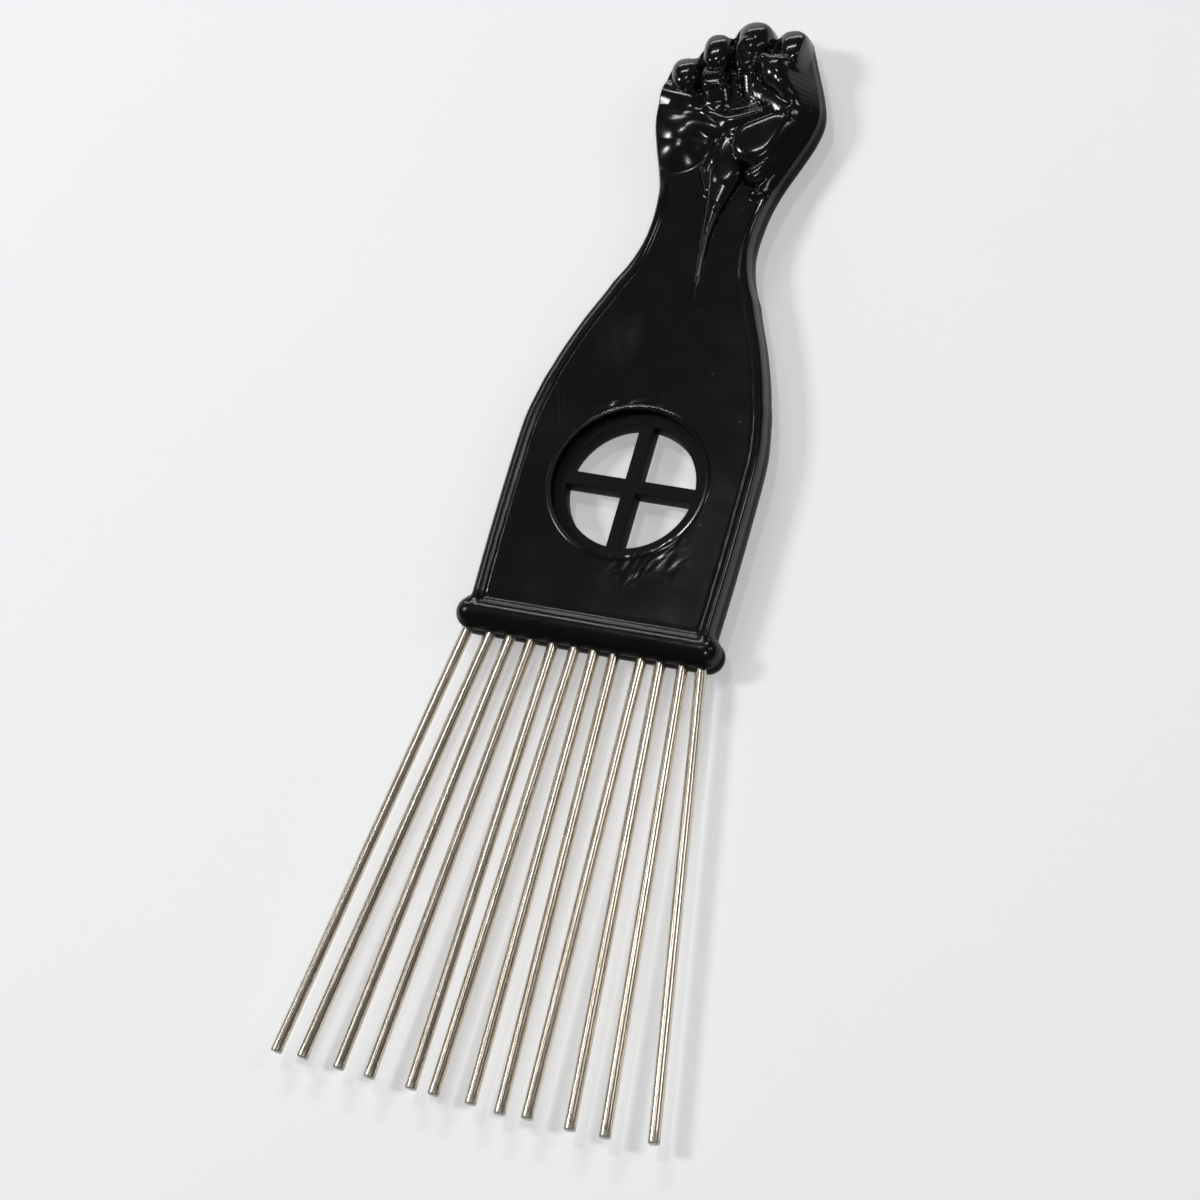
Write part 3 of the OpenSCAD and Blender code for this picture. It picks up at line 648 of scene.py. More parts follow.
class Effects:
    """Node groups that more than one finish uses."""

    @staticmethod
    def group(name: str, inputs: dict[str, float],
              outputs: tuple[str, ...]) -> tuple[Sheet, bpy.types.Node, bpy.types.Node]:
        """Starts a node group.

        Args:
            name: the group's name.
            inputs: number inputs and their first values. A vector input comes before them.
            outputs: number outputs.

        Returns:
            The sheet, the inputs' node and the outputs' node.
        """
        tree = bpy.data.node_groups.new(name, "ShaderNodeTree")
        tree.interface.new_socket("Vector", in_out="INPUT", socket_type="NodeSocketVector")
        for key, value in inputs.items():
            socket = tree.interface.new_socket(key, in_out="INPUT", socket_type="NodeSocketFloat")
            socket.default_value = value
        for key in outputs:
            tree.interface.new_socket(key, in_out="OUTPUT", socket_type="NodeSocketFloat")
        sheet = Sheet(tree)
        return sheet, sheet.add("NodeGroupInput"), sheet.add("NodeGroupOutput")

    @staticmethod
    def scuffs() -> bpy.types.NodeTree:
        """Builds patches of short fine scratches, a few specks of dust, and smudges.

        Returns:
            A group with the outputs Scratch, Speck and Smudge, each from 0 to 1.
        """
        sheet, start, end = Effects.group("handling_marks", {"Scale": 1000.0}, ("Scratch", "Speck", "Smudge"))
        inputs = {0: start.outputs["Vector"], "Scale": start.outputs["Scale"]}
        vector = sheet.add("ShaderNodeVectorMath", inputs, operation="SCALE").outputs[0]
        patch = sheet.noise(vector, 0.045, 3.0)
        # Three sets of scratches, each with its own turn and length
        strokes = []
        for turn, length in ((0.7, 10.0), (1.9, 14.0), (2.6, 8.0)):
            drawn = sheet.mapped(vector, (length, 0.3, 1.0), turn, "TEXTURE")
            strokes.append(sheet.span(sheet.noise(drawn, 1.0, 1.0, 0.25), 0.7, 0.78))
        scratch = sheet.times(sheet.math("MAXIMUM", *strokes), sheet.span(patch, 0.52, 0.7))
        dots = sheet.add("ShaderNodeTexVoronoi", {"Vector": vector, "Scale": 0.32, "Randomness": 1.0})
        speck = sheet.times(sheet.span(dots.outputs["Distance"], 0.075, 0.055), sheet.span(patch, 0.5, 0.6))
        smudge = sheet.span(sheet.noise(vector, 0.09, 5.0, 0.6, 0.6), 0.42, 0.68)
        for key, value in (("Scratch", scratch), ("Speck", speck), ("Smudge", smudge)):
            sheet.link(value, end, key)
        return sheet.tree


@dataclass(frozen=True)
class Masks:
    """Where a moulding has each kind of surface, from 0 to 1."""

    dull: Value  # face that was never polished
    discs: Value  # ejector marks on it
    wall: Value  # satin walls
    bar: Value
    rubbed: Value  # rubbed crest of the left rim
    prints: Value
    worn: Value
    raised: Value  # relief of the hand
    rippled: Value


@dataclass(frozen=True)
class BlackPlastic:
    """Polished black styrene: nearly black, glossy, with mould marks, light scratches and dust.

    Sizes are millimetres in the part's frame. A pair says where a mask starts and where it is full.
    """

    name: str
    color: Triple = (0.004, 0.004, 0.005)
    dust: Triple = (0.16, 0.16, 0.17)
    bare: Triple = (0.011, 0.011, 0.0115)
    roughness: float = 0.13
    matt: float = 0.0  # how dull the ring's face is
    ring_r: float = 18.0
    ring_z: Pair = (0.6, 0.2)
    ejectors: tuple[Pair, ...] = ((-13.8, 0.1), (-0.1, 14.6), (14.9, -0.2), (-0.4, -14.9))
    ejector_r: float = 1.35
    wall_z: Pair = (2.6, 1.5)  # distance from the seam
    bar_y: Pair = (-28.4, -29.2)
    under_y: Pair = (-34.2, -35.4)
    rubbed_x: Pair = (-4.0, -10.0)
    rubbed_y: Pair = (55.0, 45.0)
    rubbed_z: Pair = (2.0, 2.3)
    print_at: Pair = (-10.0, 31.0)
    print_r: float = 8.0
    raised_y: Pair = (50.0, 66.0)
    raised_z: Pair = (2.2, 3.4)
    ripples: tuple[tuple[Pair, float], ...] = (((5.0, -18.0), 5.0), ((11.4, -14.6), 6.4))
    lip_ripples: tuple[Pair, float] = ((-5.0, 17.0), 9.0)
    lip_r: float = 19.0
    rippled_z: Pair = (1.5, 1.9)
    relief_depth: float = 0.02

    def masks(self, sheet: Sheet, place: Value, marks: bpy.types.bpy_prop_collection) -> Masks:
        """Works out the places of all kinds of surface.

        Args:
            sheet: the material's nodes.
            place: object coordinates.
            marks: outputs of the group of handling marks.

        Returns:
            The masks.
        """
        x, y, z = sheet.add("ShaderNodeSeparateXYZ", {0: place}).outputs
        plan = (x, y)
        centre = (0.0, 0.0)
        # The face of ring and cross was never polished, and ejector pins left shallow discs on it
        dull = sheet.times(sheet.disc(plan, centre, self.ring_r, 0.1), sheet.ramp(z, self.ring_z), self.matt)
        discs = sheet.plus(*(sheet.disc(plan, middle, self.ejector_r, 0.16) for middle in self.ejectors))
        # The walls beside the seam are satin where the flash was trimmed, and so is the bar's lower side
        off_seam = sheet.math("ABSOLUTE", sheet.plus(z, RING_LEVEL * MM))
        wall = sheet.math("MAXIMUM", sheet.ramp(off_seam, self.wall_z), sheet.ramp(y, self.under_y))
        bar = sheet.ramp(y, self.bar_y)
        crest = sheet.math("SUBTRACT", sheet.ramp(z, self.rubbed_z), bar, clamp=True)
        rubbed = sheet.times(sheet.ramp(x, self.rubbed_x), sheet.ramp(y, self.rubbed_y), crest)
        # A thumb has left prints above the window
        prints = sheet.times(sheet.disc(plan, self.print_at, self.print_r, 6.0), marks["Smudge"])
        worn = sheet.plus(sheet.times(marks["Scratch"], 0.5), marks["Speck"], clamp=True)
        raised = sheet.times(sheet.ramp(y, self.raised_y), sheet.ramp(z, self.raised_z))
        # Shrinkage left ripples beside the window and along the upper stretch of its lip
        lip = sheet.disc(plan, centre, self.lip_r, 1.0)
        upper = sheet.times(sheet.disc(plan, *self.lip_ripples, 4.0), lip)
        beside = (sheet.disc(plan, *patch, 3.0) for patch in self.ripples)
        rippled = sheet.times(sheet.plus(*beside, upper, clamp=True), sheet.ramp(z, self.rippled_z))
        return Masks(dull, discs, wall, bar, rubbed, prints, worn, raised, rippled)

    def relief(self, sheet: Sheet, place: Value, masks: Masks) -> Value:
        """Adds up the fine relief of the surface.

        Args:
            sheet: the material's nodes.
            place: object coordinates.
            masks: where each kind of surface is.

        Returns:
            The height, as a share of the relief's depth.
        """
        # Cutter marks of the mould lie across the hand in fine even steps
        inputs = {"Vector": place, "Scale": 850.0, "Distortion": 0.5, "Detail": 1.0, "Detail Scale": 0.3}
        steps = sheet.add("ShaderNodeTexWave", inputs, bands_direction="DIAGONAL").outputs["Fac"]
        drawn = sheet.mapped(place, (2.2, 1.0, 1.0), 0.96, "TEXTURE")
        waves = sheet.math("SUBTRACT", sheet.noise(drawn, 360.0, 1.0, 0.5), 0.5)
        peel = sheet.noise(place, 240.0, 1.0)
        grain = sheet.noise(place, 3200.0, 2.0)
        grained = sheet.plus(masks.dull, sheet.times(masks.bar, 0.35))
        return sheet.total(
            sheet.times(steps, masks.raised, 0.6), (sheet.times(waves, masks.rippled), 30.0), (peel, 0.35),
            (sheet.times(steps, masks.bar), 0.5), (sheet.times(peel, masks.bar), 8.0),
            (sheet.times(grain, grained), 1.0), (sheet.times(masks.discs, masks.dull), -6.0),
            (masks.worn, -0.4))

    def build(self, scuffs: bpy.types.NodeTree) -> bpy.types.Material:
        """Makes the material.

        Args:
            scuffs: the shared group of handling marks.

        Returns:
            The material.
        """
        material, sheet, shader = Sheet.material(self.name)
        place = sheet.add("ShaderNodeTexCoord").outputs["Object"]
        marks = sheet.add("ShaderNodeGroup", {"Vector": place}, node_tree=scuffs).outputs
        masks = self.masks(sheet, place, marks)
        shown = sheet.plus(sheet.times(masks.worn, 0.1), sheet.times(masks.prints, 0.05))
        tint = sheet.mix(masks.dull, sheet.mix(shown, self.color, self.dust), self.bare)
        sheet.link(tint, shader, "Base Color")
        rough = sheet.total(self.roughness, (marks["Smudge"], 0.04), (masks.worn, 0.2), (masks.bar, 0.06),
                            (masks.wall, 0.16), (masks.rubbed, 0.13), (masks.dull, 0.24))
        sheet.link(rough, shader, "Roughness")
        sheet.bump(shader, self.relief(sheet, place, masks), 0.5, self.relief_depth)
        # What was never polished or was trimmed has less shine
        satin = sheet.math("MAXIMUM", sheet.times(masks.dull, 0.7), sheet.times(masks.bar, 0.4), masks.wall)
        shine = sheet.math("SUBTRACT", 0.5, sheet.times(satin, 0.44))
        sheet.link(shine, shader, "Specular IOR Level")
        return material


@dataclass(frozen=True)
class NickelWire:
    """Drawn steel wire with thin nickel plating: lengthwise lines, soft stains, duller ends."""

    name: str
    color: Triple = (0.74, 0.67, 0.56)
    stained: Triple = (0.56, 0.5, 0.4)
    cut_end: Triple = (0.3, 0.3, 0.31)
    roughness: float = 0.22
    relief_depth: float = 0.01

    def build(self, scuffs: bpy.types.NodeTree) -> bpy.types.Material:
        """Makes the material. Its UV map runs round the pin and along it.

        Args:
            scuffs: the shared group of handling marks.

        Returns:
            The material.
        """
        material, sheet, shader = Sheet.material(self.name)
        coords = sheet.add("ShaderNodeTexCoord").outputs
        marks = sheet.add("ShaderNodeGroup", {"Vector": coords["Object"]}, node_tree=scuffs).outputs
        lines = sheet.noise(sheet.mapped(coords["UV"], (44.0, 0.3, 1.0)), 1.0, 1.0)
        stain = sheet.span(sheet.noise(sheet.mapped(coords["UV"], (5.0, 7.0, 1.0)), 1.0, 4.0), 0.35, 0.75)
        tip = sheet.span(sheet.add("ShaderNodeSeparateXYZ", {0: coords["UV"]}).outputs[1], 0.985, 0.995)
        tint = sheet.mix(sheet.times(tip, 0.5), sheet.mix(stain, self.color, self.stained), self.cut_end)
        sheet.link(tint, shader, "Base Color")
        streaks = sheet.span(lines, 0.3, 0.7, -0.05, 0.08)
        rough = sheet.total(sheet.plus(self.roughness, streaks), (marks["Smudge"], 0.04), (tip, 0.15))
        sheet.link(rough, shader, "Roughness")
        shader.inputs["Metallic"].default_value = 1.0
        sheet.bump(shader, sheet.total(lines, (marks["Scratch"], -0.2)), 0.1, self.relief_depth)
        return material


@dataclass(frozen=True)
class HandleHalf:
    """One moulding of the handle, with its half of the bar and of the window."""

    half: Half
    name: str
    node: str
    slot: str
    panel: float
    material: bpy.types.Material
    outline: Outline = Outline()
    bar: Bar = Bar()
    seam_y: float = 54.0  # where the hand's grid meets the window's
    window_r: float = 13.75
    recess_r: float = 16.3
    ring_outer: float = 18.0
    ring_gap: float = 0.3
    cross_w: float = 3.0
    soft_edge: float = 0.22  # rounding of the edges of ring and cross
    lip_w: float = 1.1
    lip_rise: float = 0.25
    lip_edge: float = 0.08
    lip_run: float = 1.5  # flat panel round the lip
    crease: float = 0.7
    across: int = 200
    along: int = 250
    crowd_sides: float = 0.85  # how much the grids' lines crowd at edges
    crowd_tips: float = 0.6
    crowd_window: float = 0.9
    wrist_rows: int = 48
    window_rows: int = 48
    lip_rows: int = 8
    flank_points: int = 90
    foot_points: int = 140
    ball_steps: int = 20
    bar_steps: int = 41
    turn_steps: int = 60
    quarter_points: int = 24
    bend_points: int = 5

    def place(self, x: np.ndarray, y: np.ndarray, z: np.ndarray | float) -> np.ndarray:
        """Puts heights over this half's parting face into space."""
        return np.stack([x, y, np.broadcast_to(z, x.shape) * float(self.half.value)], -1)

    @staticmethod
    def lift(plan: np.ndarray, z: float) -> np.ndarray:
        """Puts a plan at one height in space, on either side of the parting plane."""
        return np.column_stack([plan, np.full(len(plan), z)])

    def hand_plan(self, u: np.ndarray) -> np.ndarray:
        """Blends a patch between the wrist, both sides of the hand and the finger tops.

        It is the across blend plus the lengthwise blend less the blend of the four corners.

        Args:
            u: shares across, from the little finger's side to the thumb's.

        Returns:
            Rows from the wrist up, columns, and x and y.
        """
        v = Curve.crowd_end(self.along, self.crowd_tips)
        left, right = (self.outline.hand_side(side, v)[:, None] for side in (LEFT, RIGHT))
        lt, rt = left[-1, 0], right[-1, 0]
        x = lt[0] + (rt[0] - lt[0]) * u
        tip = np.stack([x, self.outline.finger_top(x)], -1)
        tip[0], tip[-1] = lt, rt
        w = self.outline.wrist_half
        foot = np.stack([-w + 2 * w * u, np.full_like(u, self.outline.wrist_y)], -1)
        s, k = v[:, None, None], u[None, :, None]
        corners = foot[None] * (1 - s) + (lt + (rt - lt) * k) * s
        return foot[None] * (1 - s) + tip[None] * s + left * (1 - k) + right * k - corners

    def hand(self, parts: MeshParts, skin: Skin) -> np.ndarray:
        """Adds the upper handle, in rows straight across, and the hand beyond the wrist.

        Args:
            parts: the mesh so far.
            skin: the height rule.

        Returns:
            The places across of the lowest row.
        """
        u = Curve.crowd(self.across, self.crowd_sides)
        rows = np.linspace(self.seam_y, self.outline.wrist_y, self.wrist_rows)[:-1, None]
        h = self.outline.half_width(rows)
        handle = np.stack([-h + 2 * h * u[None], np.repeat(rows, len(u), 1)], -1)
        plan = np.concatenate([handle, self.hand_plan(u)])
        x, y = plan[..., 0], plan[..., 1]
        z = skin.height(x, y)
        z[:, 0] = z[:, -1] = z[-1] = 0
        index = parts.grid(self.place(x, y, z))
        # One face on the parting plane closes it, along the outline and back across the lowest row
        seam = parts.grid(self.place(x[:1], y[:1], 0.0))
        rim = np.concatenate([index[:, 0], index[-1, 1:], index[-2::-1, -1]])
        parts.plate(np.concatenate([rim, seam[0, -2:0:-1]]))
        return x[0]

    def outer_loop(self, top_x: np.ndarray) -> np.ndarray:
        """Gives the lower handle's outer loop, counterclockwise from the lower right corner.

        Args:
            top_x: the columns of the hand's lowest row.

        Returns:
            One row of x and y for each point.
        """
        up = np.linspace(0, self.seam_y, self.flank_points)
        flank = self.outline.half_width(up)
        bottom = np.linspace(-flank[0], flank[0], self.foot_points)
        right = np.stack([flank, up], -1)[:-1]
        top = np.stack([top_x[::-1], np.full_like(top_x, self.seam_y)], -1)[:-1]
        left = np.stack([-flank, up], -1)[:0:-1]
        return np.concatenate([right, top, left, np.stack([bottom, np.zeros_like(bottom)], -1)])

    def opening(self) -> list[Pair]:
        """Gives the profile of the front hole: wall beside the ring, ledge over it, recess and round lip.

        Returns:
            Radius and height of each row, from the parting plane up. The rear half has none.
        """
        if self.half is Half.REAR:
            return []
        hole, crest = self.ring_outer + self.ring_gap, self.panel + self.lip_rise
        rows = [(hole, 0.0), (hole, RING_LEVEL), (self.recess_r, RING_LEVEL),
                (self.recess_r, crest - self.lip_edge)]
        return rows + [(self.recess_r + self.lip_w * s, self.panel + self.lip_rise * np.sqrt(1 - s * s))
                       for s in np.linspace(0, 1, self.lip_rows + 1)[:-1]]

    def lower(self, parts: MeshParts, skin: Skin, top_x: np.ndarray) -> None:
        """Adds the lower handle round the window: rows blend from the window's circle to the outer loop.

        Args:
            parts: the mesh so far.
            skin: the height rule.
            top_x: the columns of the hand's lowest row.
        """
        loop = self.outer_loop(top_x)
        away = loop - MIDDLE
        turn = away / np.linalg.norm(away, axis=-1, keepdims=True)
        front = self.half is Half.FRONT
        lip = self.recess_r + self.lip_w if front else self.ring_outer
        t = Curve.crowd(self.window_rows, self.crowd_window)[:, None, None]
        plan = (MIDDLE + turn * lip)[None] * (1 - t) + loop[None] * t
        x, y = plan[..., 0], plan[..., 1]
        flat = 1 - Curve.ease(lip, lip + self.lip_run, np.hypot(x, y - WINDOW_Y))
        z = skin.height(x, y) * (1 - flat) + self.panel * flat
        # The last row lies on the parting plane, apart from its ends under the bar and towards the hand
        at_foot = loop[:, 1] < TINY
        at_top = np.abs(loop[:, 1] - self.seam_y) < TINY
        at_edge = np.abs(np.abs(loop[:, 0]) - self.outline.half_width(loop[:, 1])) < TINY
        z[-1] = np.where((at_foot | at_top) & ~at_edge, z[-1], 0)
        face = list(self.place(x, y, z))
        parts.grid(np.stack([self.place(*(MIDDLE + turn * r).T, h) for r, h in self.opening()] + face))
        hole = self.ring_outer + (self.ring_gap if front else 0.0)
        under = np.stack([self.place(*(MIDDLE + turn * hole).T, 0.0), self.place(*loop.T, 0.0)])
        parts.grid(under, flip=True)
        foot = np.nonzero(at_foot)[0][1:]
        parts.grid(np.stack([face[-1][foot], under[1][foot]]))

    def bead(self, parts: MeshParts) -> None:
        """Adds half of the bar: circles round a lengthwise axis, cut off at the parting plane.

        A ring of radius r turns from -asin(rise / r) to 180 degrees + asin(rise / r), or all the way round
        where it doesn't reach the plane.

        Args:
            parts: the mesh so far.
        """
        radius, rise, n = self.bar.radius, self.bar.rise, self.ball_steps
        ball = self.bar.half - radius
        t = np.linspace(-np.pi / 2, np.pi / 2, 2 * n + 1)
        straight = np.linspace(-ball, ball, self.bar_steps + 1)[1:-1]
        left, right = -ball + radius * np.sin(t[:n + 1]), ball + radius * np.sin(t[n:])
        x = np.concatenate([left, straight, right])[:, None]
        r = np.sqrt(np.maximum(radius**2 - np.maximum(np.abs(x) - ball, 0) ** 2, 1e-8))
        reach = np.arcsin(np.clip(rise / r, -1, 1))
        turn = -reach + (np.pi + 2 * reach) * np.linspace(0, 1, self.turn_steps + 1)
        y, z = r * np.cos(turn), rise + r * np.sin(turn)
        grid = parts.grid(self.place(np.broadcast_to(x, y.shape), y, np.maximum(z, 0)), flip=True)
        cut = np.nonzero(r > rise)[0]
        parts.plate(np.concatenate([grid[cut, 0], grid[cut[::-1], -1]]))

    def sector(self, half: float, radius: float) -> np.ndarray:
        """Gives the loop of a quarter of the window: out along one edge, round the arc, back along the other.

        Args:
            half: distance of both straight edges from the window's middle lines.
            radius: the arc's radius.

        Returns:
            One row of x and y for each point, round the window's middle.
        """
        n = self.quarter_points
        reach = np.sqrt(radius**2 - half**2)
        s = np.linspace(0, 1, n, endpoint=False)
        start = np.arcsin(half / radius)
        arc = start + (np.pi / 2 - 2 * start) * np.linspace(0, 1, 2 * n, endpoint=False)
        return np.concatenate([
            np.stack([half + (reach - half) * s, np.full(n, half)], -1),
            np.stack([radius * np.cos(arc), radius * np.sin(arc)], -1),
            np.stack([np.full(n, half), reach + (half - reach) * s], -1)])

    def window_floor(self, parts: MeshParts) -> None:
        """Adds the ring and cross in four alike quarters, and the ring's outer wall.

        Sections run from the quarter's middle lines in to its opening on the rear face, up the opening's
        wall with a round edge at both ends, and back out on the ring's face.

        Args:
            parts: the mesh so far.
        """
        inner, outer = self.sector(self.cross_w / 2, self.window_r), self.sector(0.0, self.ring_outer)
        pull = inner - inner.mean(0)
        soft = self.soft_edge
        edge = pull / np.linalg.norm(pull, axis=-1, keepdims=True) * soft
        top, low = RING_LEVEL, -self.panel
        bend = np.linspace(0, np.pi / 2, self.bend_points)
        rows = [(outer, low), (inner + edge, low)]
        rows += [(inner + edge * (1 - np.sin(b)), low + soft * (1 - np.cos(b))) for b in bend[1:]]
        rows += [(inner + edge * (1 - np.cos(b)), top - soft * (1 - np.sin(b))) for b in bend]
        rows += [(outer, top)]
        for c, d in ((1, 0), (0, 1), (-1, 0), (0, -1)):
            spin = np.array([[c, d], [-d, c]])
            parts.grid(np.stack([self.lift(plan @ spin + MIDDLE, z) for plan, z in rows]), closed=True)
        around = np.linspace(0, 2 * np.pi, 8 * self.quarter_points + 1)
        ring = MIDDLE + self.ring_outer * np.stack([np.cos(around), np.sin(around)], -1)
        parts.grid(np.stack([self.lift(ring, z) for z in (0.0, top)]))

    def build(self) -> bpy.types.Object:
        """Builds the moulding, welds it and ties it to the part.

        Returns:
            The piece.
        """
        skin = Skin(self.half, self.panel, self.outline, self.bar)
        parts = MeshParts()
        self.lower(parts, skin, self.hand(parts, skin))
        self.bead(parts)
        if self.half is Half.REAR:
            self.window_floor(parts)
        obj = parts.make(self.name, self.material)
        Weld.finish(obj, self.crease)
        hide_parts(self.node)
        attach(obj, BODY)
        return obj


@dataclass(frozen=True)
class PinFan:
    """The twelve pins, each a length of round wire with a narrow waist and chamfered ends."""

    material: bpy.types.Material
    diameter: float = 2.4
    pitch: float = 4.5
    reach: float = 99.6
    grip: float = 9.6
    chamfer: float = 0.4
    waist_d: float = 1.7
    waist_len: float = 1.6
    waist_inset: float = 2.4
    crease: float = 0.6
    sides: int = 40
    shaft_rows: int = 40
    tip_rows: int = 6
    uv_step: float = 3.7  # shifts the wire's pattern from pin to pin

    def profile(self) -> np.ndarray:
        """Gives the outline of a pin from the middle of its held end to the middle of its tip.

        Returns:
            One row for each point: the radius, and the distance from the bar's middle.
        """
        r, w, c = self.diameter / 2, self.waist_d / 2, self.chamfer
        a = -self.grip + self.waist_inset
        b = a + self.waist_len
        held = np.array([[0, -self.grip], [r - c, -self.grip], [r, -self.grip + c],
                         [r, a], [w, a], [w, b], [r, b]])
        down = np.linspace(b, self.reach - c, self.shaft_rows + 2)[1:-1]
        bend = np.linspace(0, np.pi / 2, self.tip_rows)
        tip = np.stack([r - c + c * np.cos(bend), self.reach - c + c * np.sin(bend)], -1)
        return np.concatenate([held, np.stack([np.full_like(down, r), down], -1), tip, [[0, self.reach]]])

    def build(self) -> list[bpy.types.Object]:
        """Builds all pins: the profile turned round each pin's own axis.

        Returns:
            The pins, from the little finger's side on.
        """
        out = []
        rho, down = self.profile().T
        around = np.linspace(0, 2 * np.pi, self.sides + 1)
        turns, share = np.meshgrid(around / (2 * np.pi), (down + self.grip) / (self.reach + self.grip))
        for i, (shift, lean, slip) in enumerate(zip(PIN_SHIFT, PIN_LEAN, PIN_SLIP)):
            a = np.radians(lean)
            cross, length = np.array([np.cos(a), np.sin(a), 0]), np.array([np.sin(a), -np.cos(a), 0])
            across = (i - (len(PIN_LEAN) - 1) / 2 + shift) * self.pitch
            foot = np.array([across, 0, 0]) - length * slip * self.diameter
            ring = np.outer(np.cos(around), cross) + np.outer(np.sin(around), (0, 0, 1))
            parts = MeshParts()
            parts.grid(foot + length * down[:, None, None] + ring[None] * rho[:, None, None])
            uv = np.stack([turns + self.uv_step * i, share], -1).reshape(-1, 2)
            obj = parts.make(f"pin_wire_{i + 1:02d}", self.material, uv)
            Weld.finish(obj, self.crease)
            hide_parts(f"pin_{i + 1:02d}")
            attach(obj, BODY)
            out.append(obj)
        return out


@dataclass(frozen=True)
class SoftBox:
    """A rectangular lamp that faces the part. Its direction counts from the part, and sizes are metres."""

    name: str
    toward: Triple
    size: Pair
    watts: float
    far: float = 1.4
    aim: Triple = (0.0, 0.03, 0.0)

    def hang(self) -> None:
        """Adds the lamp to the scene."""
        data = bpy.data.lights.new(self.name, "AREA")
        data.shape, data.energy = "RECTANGLE", self.watts
        data.size, data.size_y = self.size
        obj = bpy.data.objects.new(self.name, data)
        way = Vector(self.toward).normalized()
        obj.location = way * self.far + Vector(self.aim)
        obj.rotation_euler = way.to_track_quat("Z", "Y").to_euler()
        bpy.context.scene.collection.objects.link(obj)


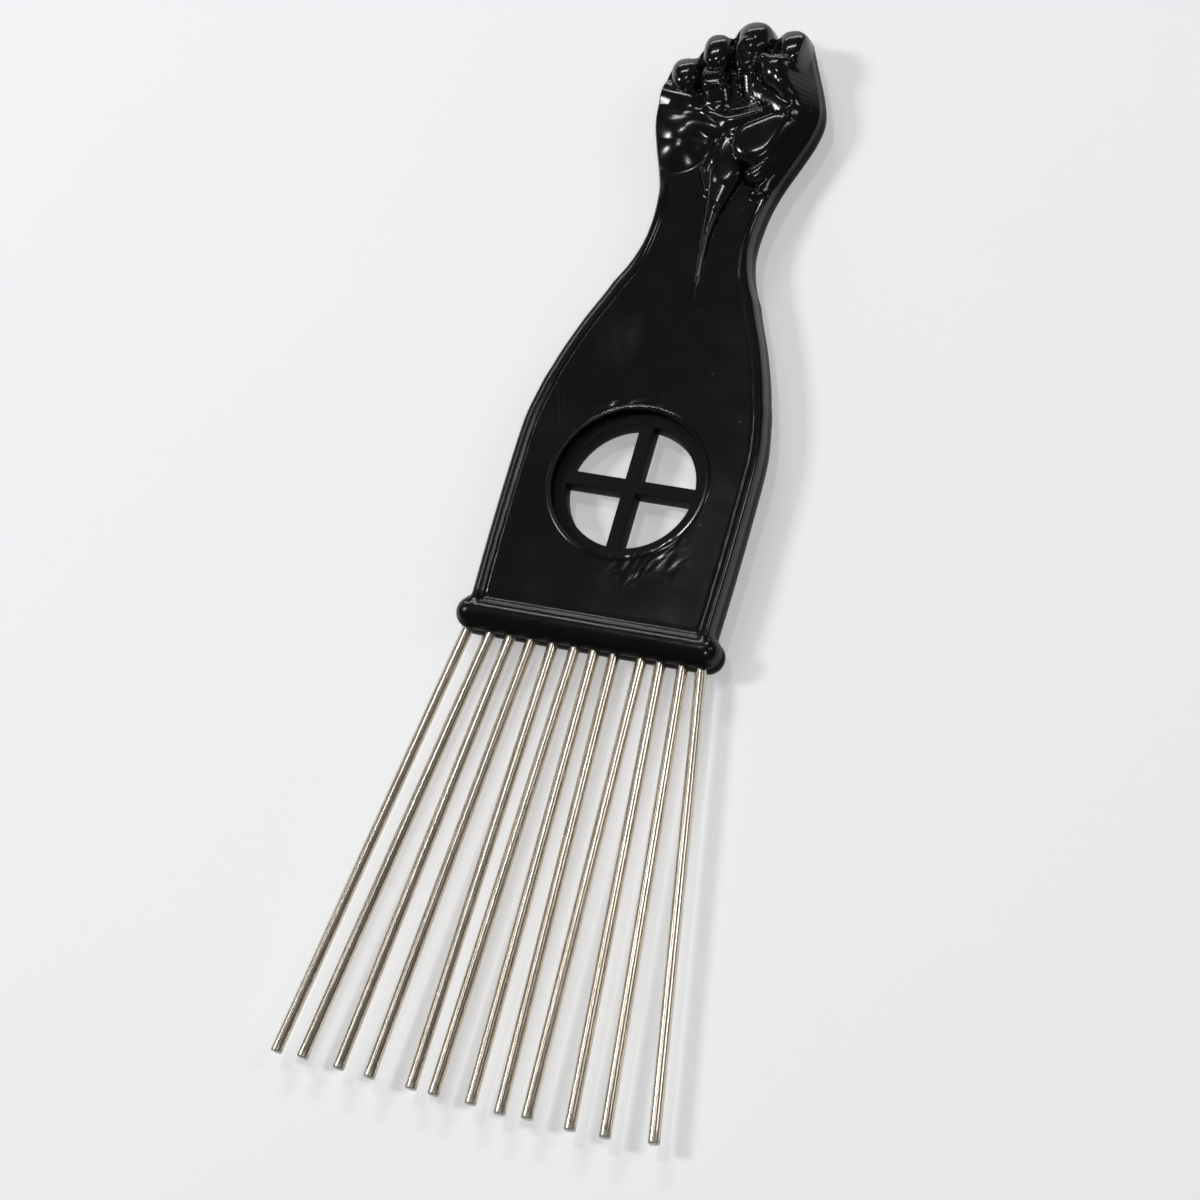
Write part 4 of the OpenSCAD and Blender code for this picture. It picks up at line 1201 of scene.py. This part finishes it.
@dataclass(frozen=True)
class Studio:
    """Camera, floor, backdrop and soft lights. The camera's place counts from the middle of the bar."""

    lens: float = 121.913
    sensor: float = 36.0
    turn: Triple = (22.972, 14.408, 15.873)
    eye: Triple = (0.2692, -0.2496, 0.7338)
    floor_half: float = 4.0
    paper: tuple[Triple, Triple] = ((0.86, 0.87, 0.885), (0.88, 0.89, 0.905))
    paper_roughness: float = 0.75
    glow: float = 0.3
    glow_color: tuple[float, ...] = (0.985, 0.99, 1.0, 1.0)
    room_color: tuple[float, ...] = (0.9, 0.93, 1.0, 1.0)
    backdrop: float = 0.85
    lamps: tuple[SoftBox, ...] = (
        SoftBox("rear_low", (-0.33, 0.94, 0.10), (0.9, 0.05), 1.6),
        SoftBox("rear_high", (-0.36, 0.69, 0.63), (0.5, 0.04), 2.6),
        SoftBox("right_side", (0.68, 0.30, 0.65), (0.08, 0.5), 1.5),
        SoftBox("left_low", (-0.94, 0.30, 0.16), (0.3, 0.05), 0.3),
        SoftBox("left_high", (-0.68, -0.06, 0.72), (0.2, 0.28), 6.0),
        SoftBox("front_high", (0.34, -0.36, 0.86), (0.12, 0.12), 2.0),
        SoftBox("ceiling", (-0.16, 0.22, 0.96), (0.08, 0.08), 1.8))

    def camera(self) -> None:
        """Sets the camera at the photograph's angle."""
        data = bpy.data.cameras.new("view")
        data.lens, data.sensor_width, data.clip_end = self.lens, self.sensor, 20.0
        obj = bpy.data.objects.new("view", data)
        obj.location = Vector(self.eye) - Vector(ORIGIN * MM)
        obj.rotation_euler = [np.radians(a) for a in self.turn]
        bpy.context.scene.collection.objects.link(obj)
        bpy.context.scene.camera = obj

    def floor(self, level: float) -> None:
        """Lays a wide pale floor under the part.

        Args:
            level: its height in metres.
        """
        mesh = bpy.data.meshes.new("floor")
        s = self.floor_half
        mesh.from_pydata([(-s, -s, level), (s, -s, level), (s, s, level), (-s, s, level)], [], [(0, 1, 2, 3)])
        obj = bpy.data.objects.new("floor", mesh)
        bpy.context.scene.collection.objects.link(obj)
        material, sheet, shader = Sheet.material("floor_paper")
        place = sheet.add("ShaderNodeTexCoord").outputs["Object"]
        sheet.link(sheet.mix(sheet.noise(place, 9.0, 2.0), *self.paper), shader, "Base Color")
        shader.inputs["Roughness"].default_value = self.paper_roughness
        # The eye, metal and glass see the floor as pale as paper, and its shadows stay
        rays = sheet.add("ShaderNodeLightPath").outputs
        kinds = ("Is Camera Ray", "Is Glossy Ray", "Is Transmission Ray")
        seen = sheet.plus(*(rays[kind] for kind in kinds), clamp=True)
        sheet.link(sheet.times(seen, self.glow), shader, "Emission Strength")
        shader.inputs["Emission Color"].default_value = self.glow_color
        mesh.materials.append(material)

    def light(self) -> None:
        """Sets the world and the lamps."""
        world = bpy.data.worlds.new("room")
        bpy.context.scene.world = world
        world.use_nodes = True
        sheet = Sheet(world.node_tree)
        back = world.node_tree.nodes["Background"]
        back.inputs["Color"].default_value = self.room_color
        # Pale for the eye, and for the shapes pale at the horizon and dark above
        way = sheet.add("ShaderNodeTexCoord").outputs["Generated"]
        up = sheet.add("ShaderNodeSeparateXYZ", {0: way}).outputs[2]
        seen = sheet.times(sheet.add("ShaderNodeLightPath").outputs["Is Camera Ray"], self.backdrop)
        room = sheet.math("MAXIMUM", sheet.span(up, 0.0, 0.07, 0.7, 0.09), seen)
        sheet.link(room, back, "Strength")
        for lamp in self.lamps:
            lamp.hang()
        bpy.context.scene.view_settings.view_transform = "Standard"


def main() -> None:
    """Builds the pick and its setting in order."""
    logging.basicConfig(level=logging.INFO, format="%(name)s: %(message)s")
    scuffs = Effects.scuffs()
    front = BlackPlastic("front_black").build(scuffs)
    rear = BlackPlastic("rear_black", roughness=0.15, matt=1.0).build(scuffs)
    wire = NickelWire("nickel_wire").build(scuffs)
    halves = (HandleHalf(Half.FRONT, "front_moulding", "front_shell", "front_plastic", 3.5, front),
              HandleHalf(Half.REAR, "rear_moulding", "rear_shell", "rear_plastic", 2.6, rear,
                         across=150, along=170))
    for half in halves:
        piece = half.build()
        LOG.info("%s has %d faces", piece.name, len(piece.data.polygons))
    for pin in PinFan(wire).build():
        LOG.info("%s has %d faces", pin.name, len(pin.data.polygons))
    studio = Studio()
    studio.camera()
    studio.floor(CAD_BOX[0][2])
    studio.light()
    LOG.info("camera, floor and lights are set")


if __name__ == "__main__":
    main()
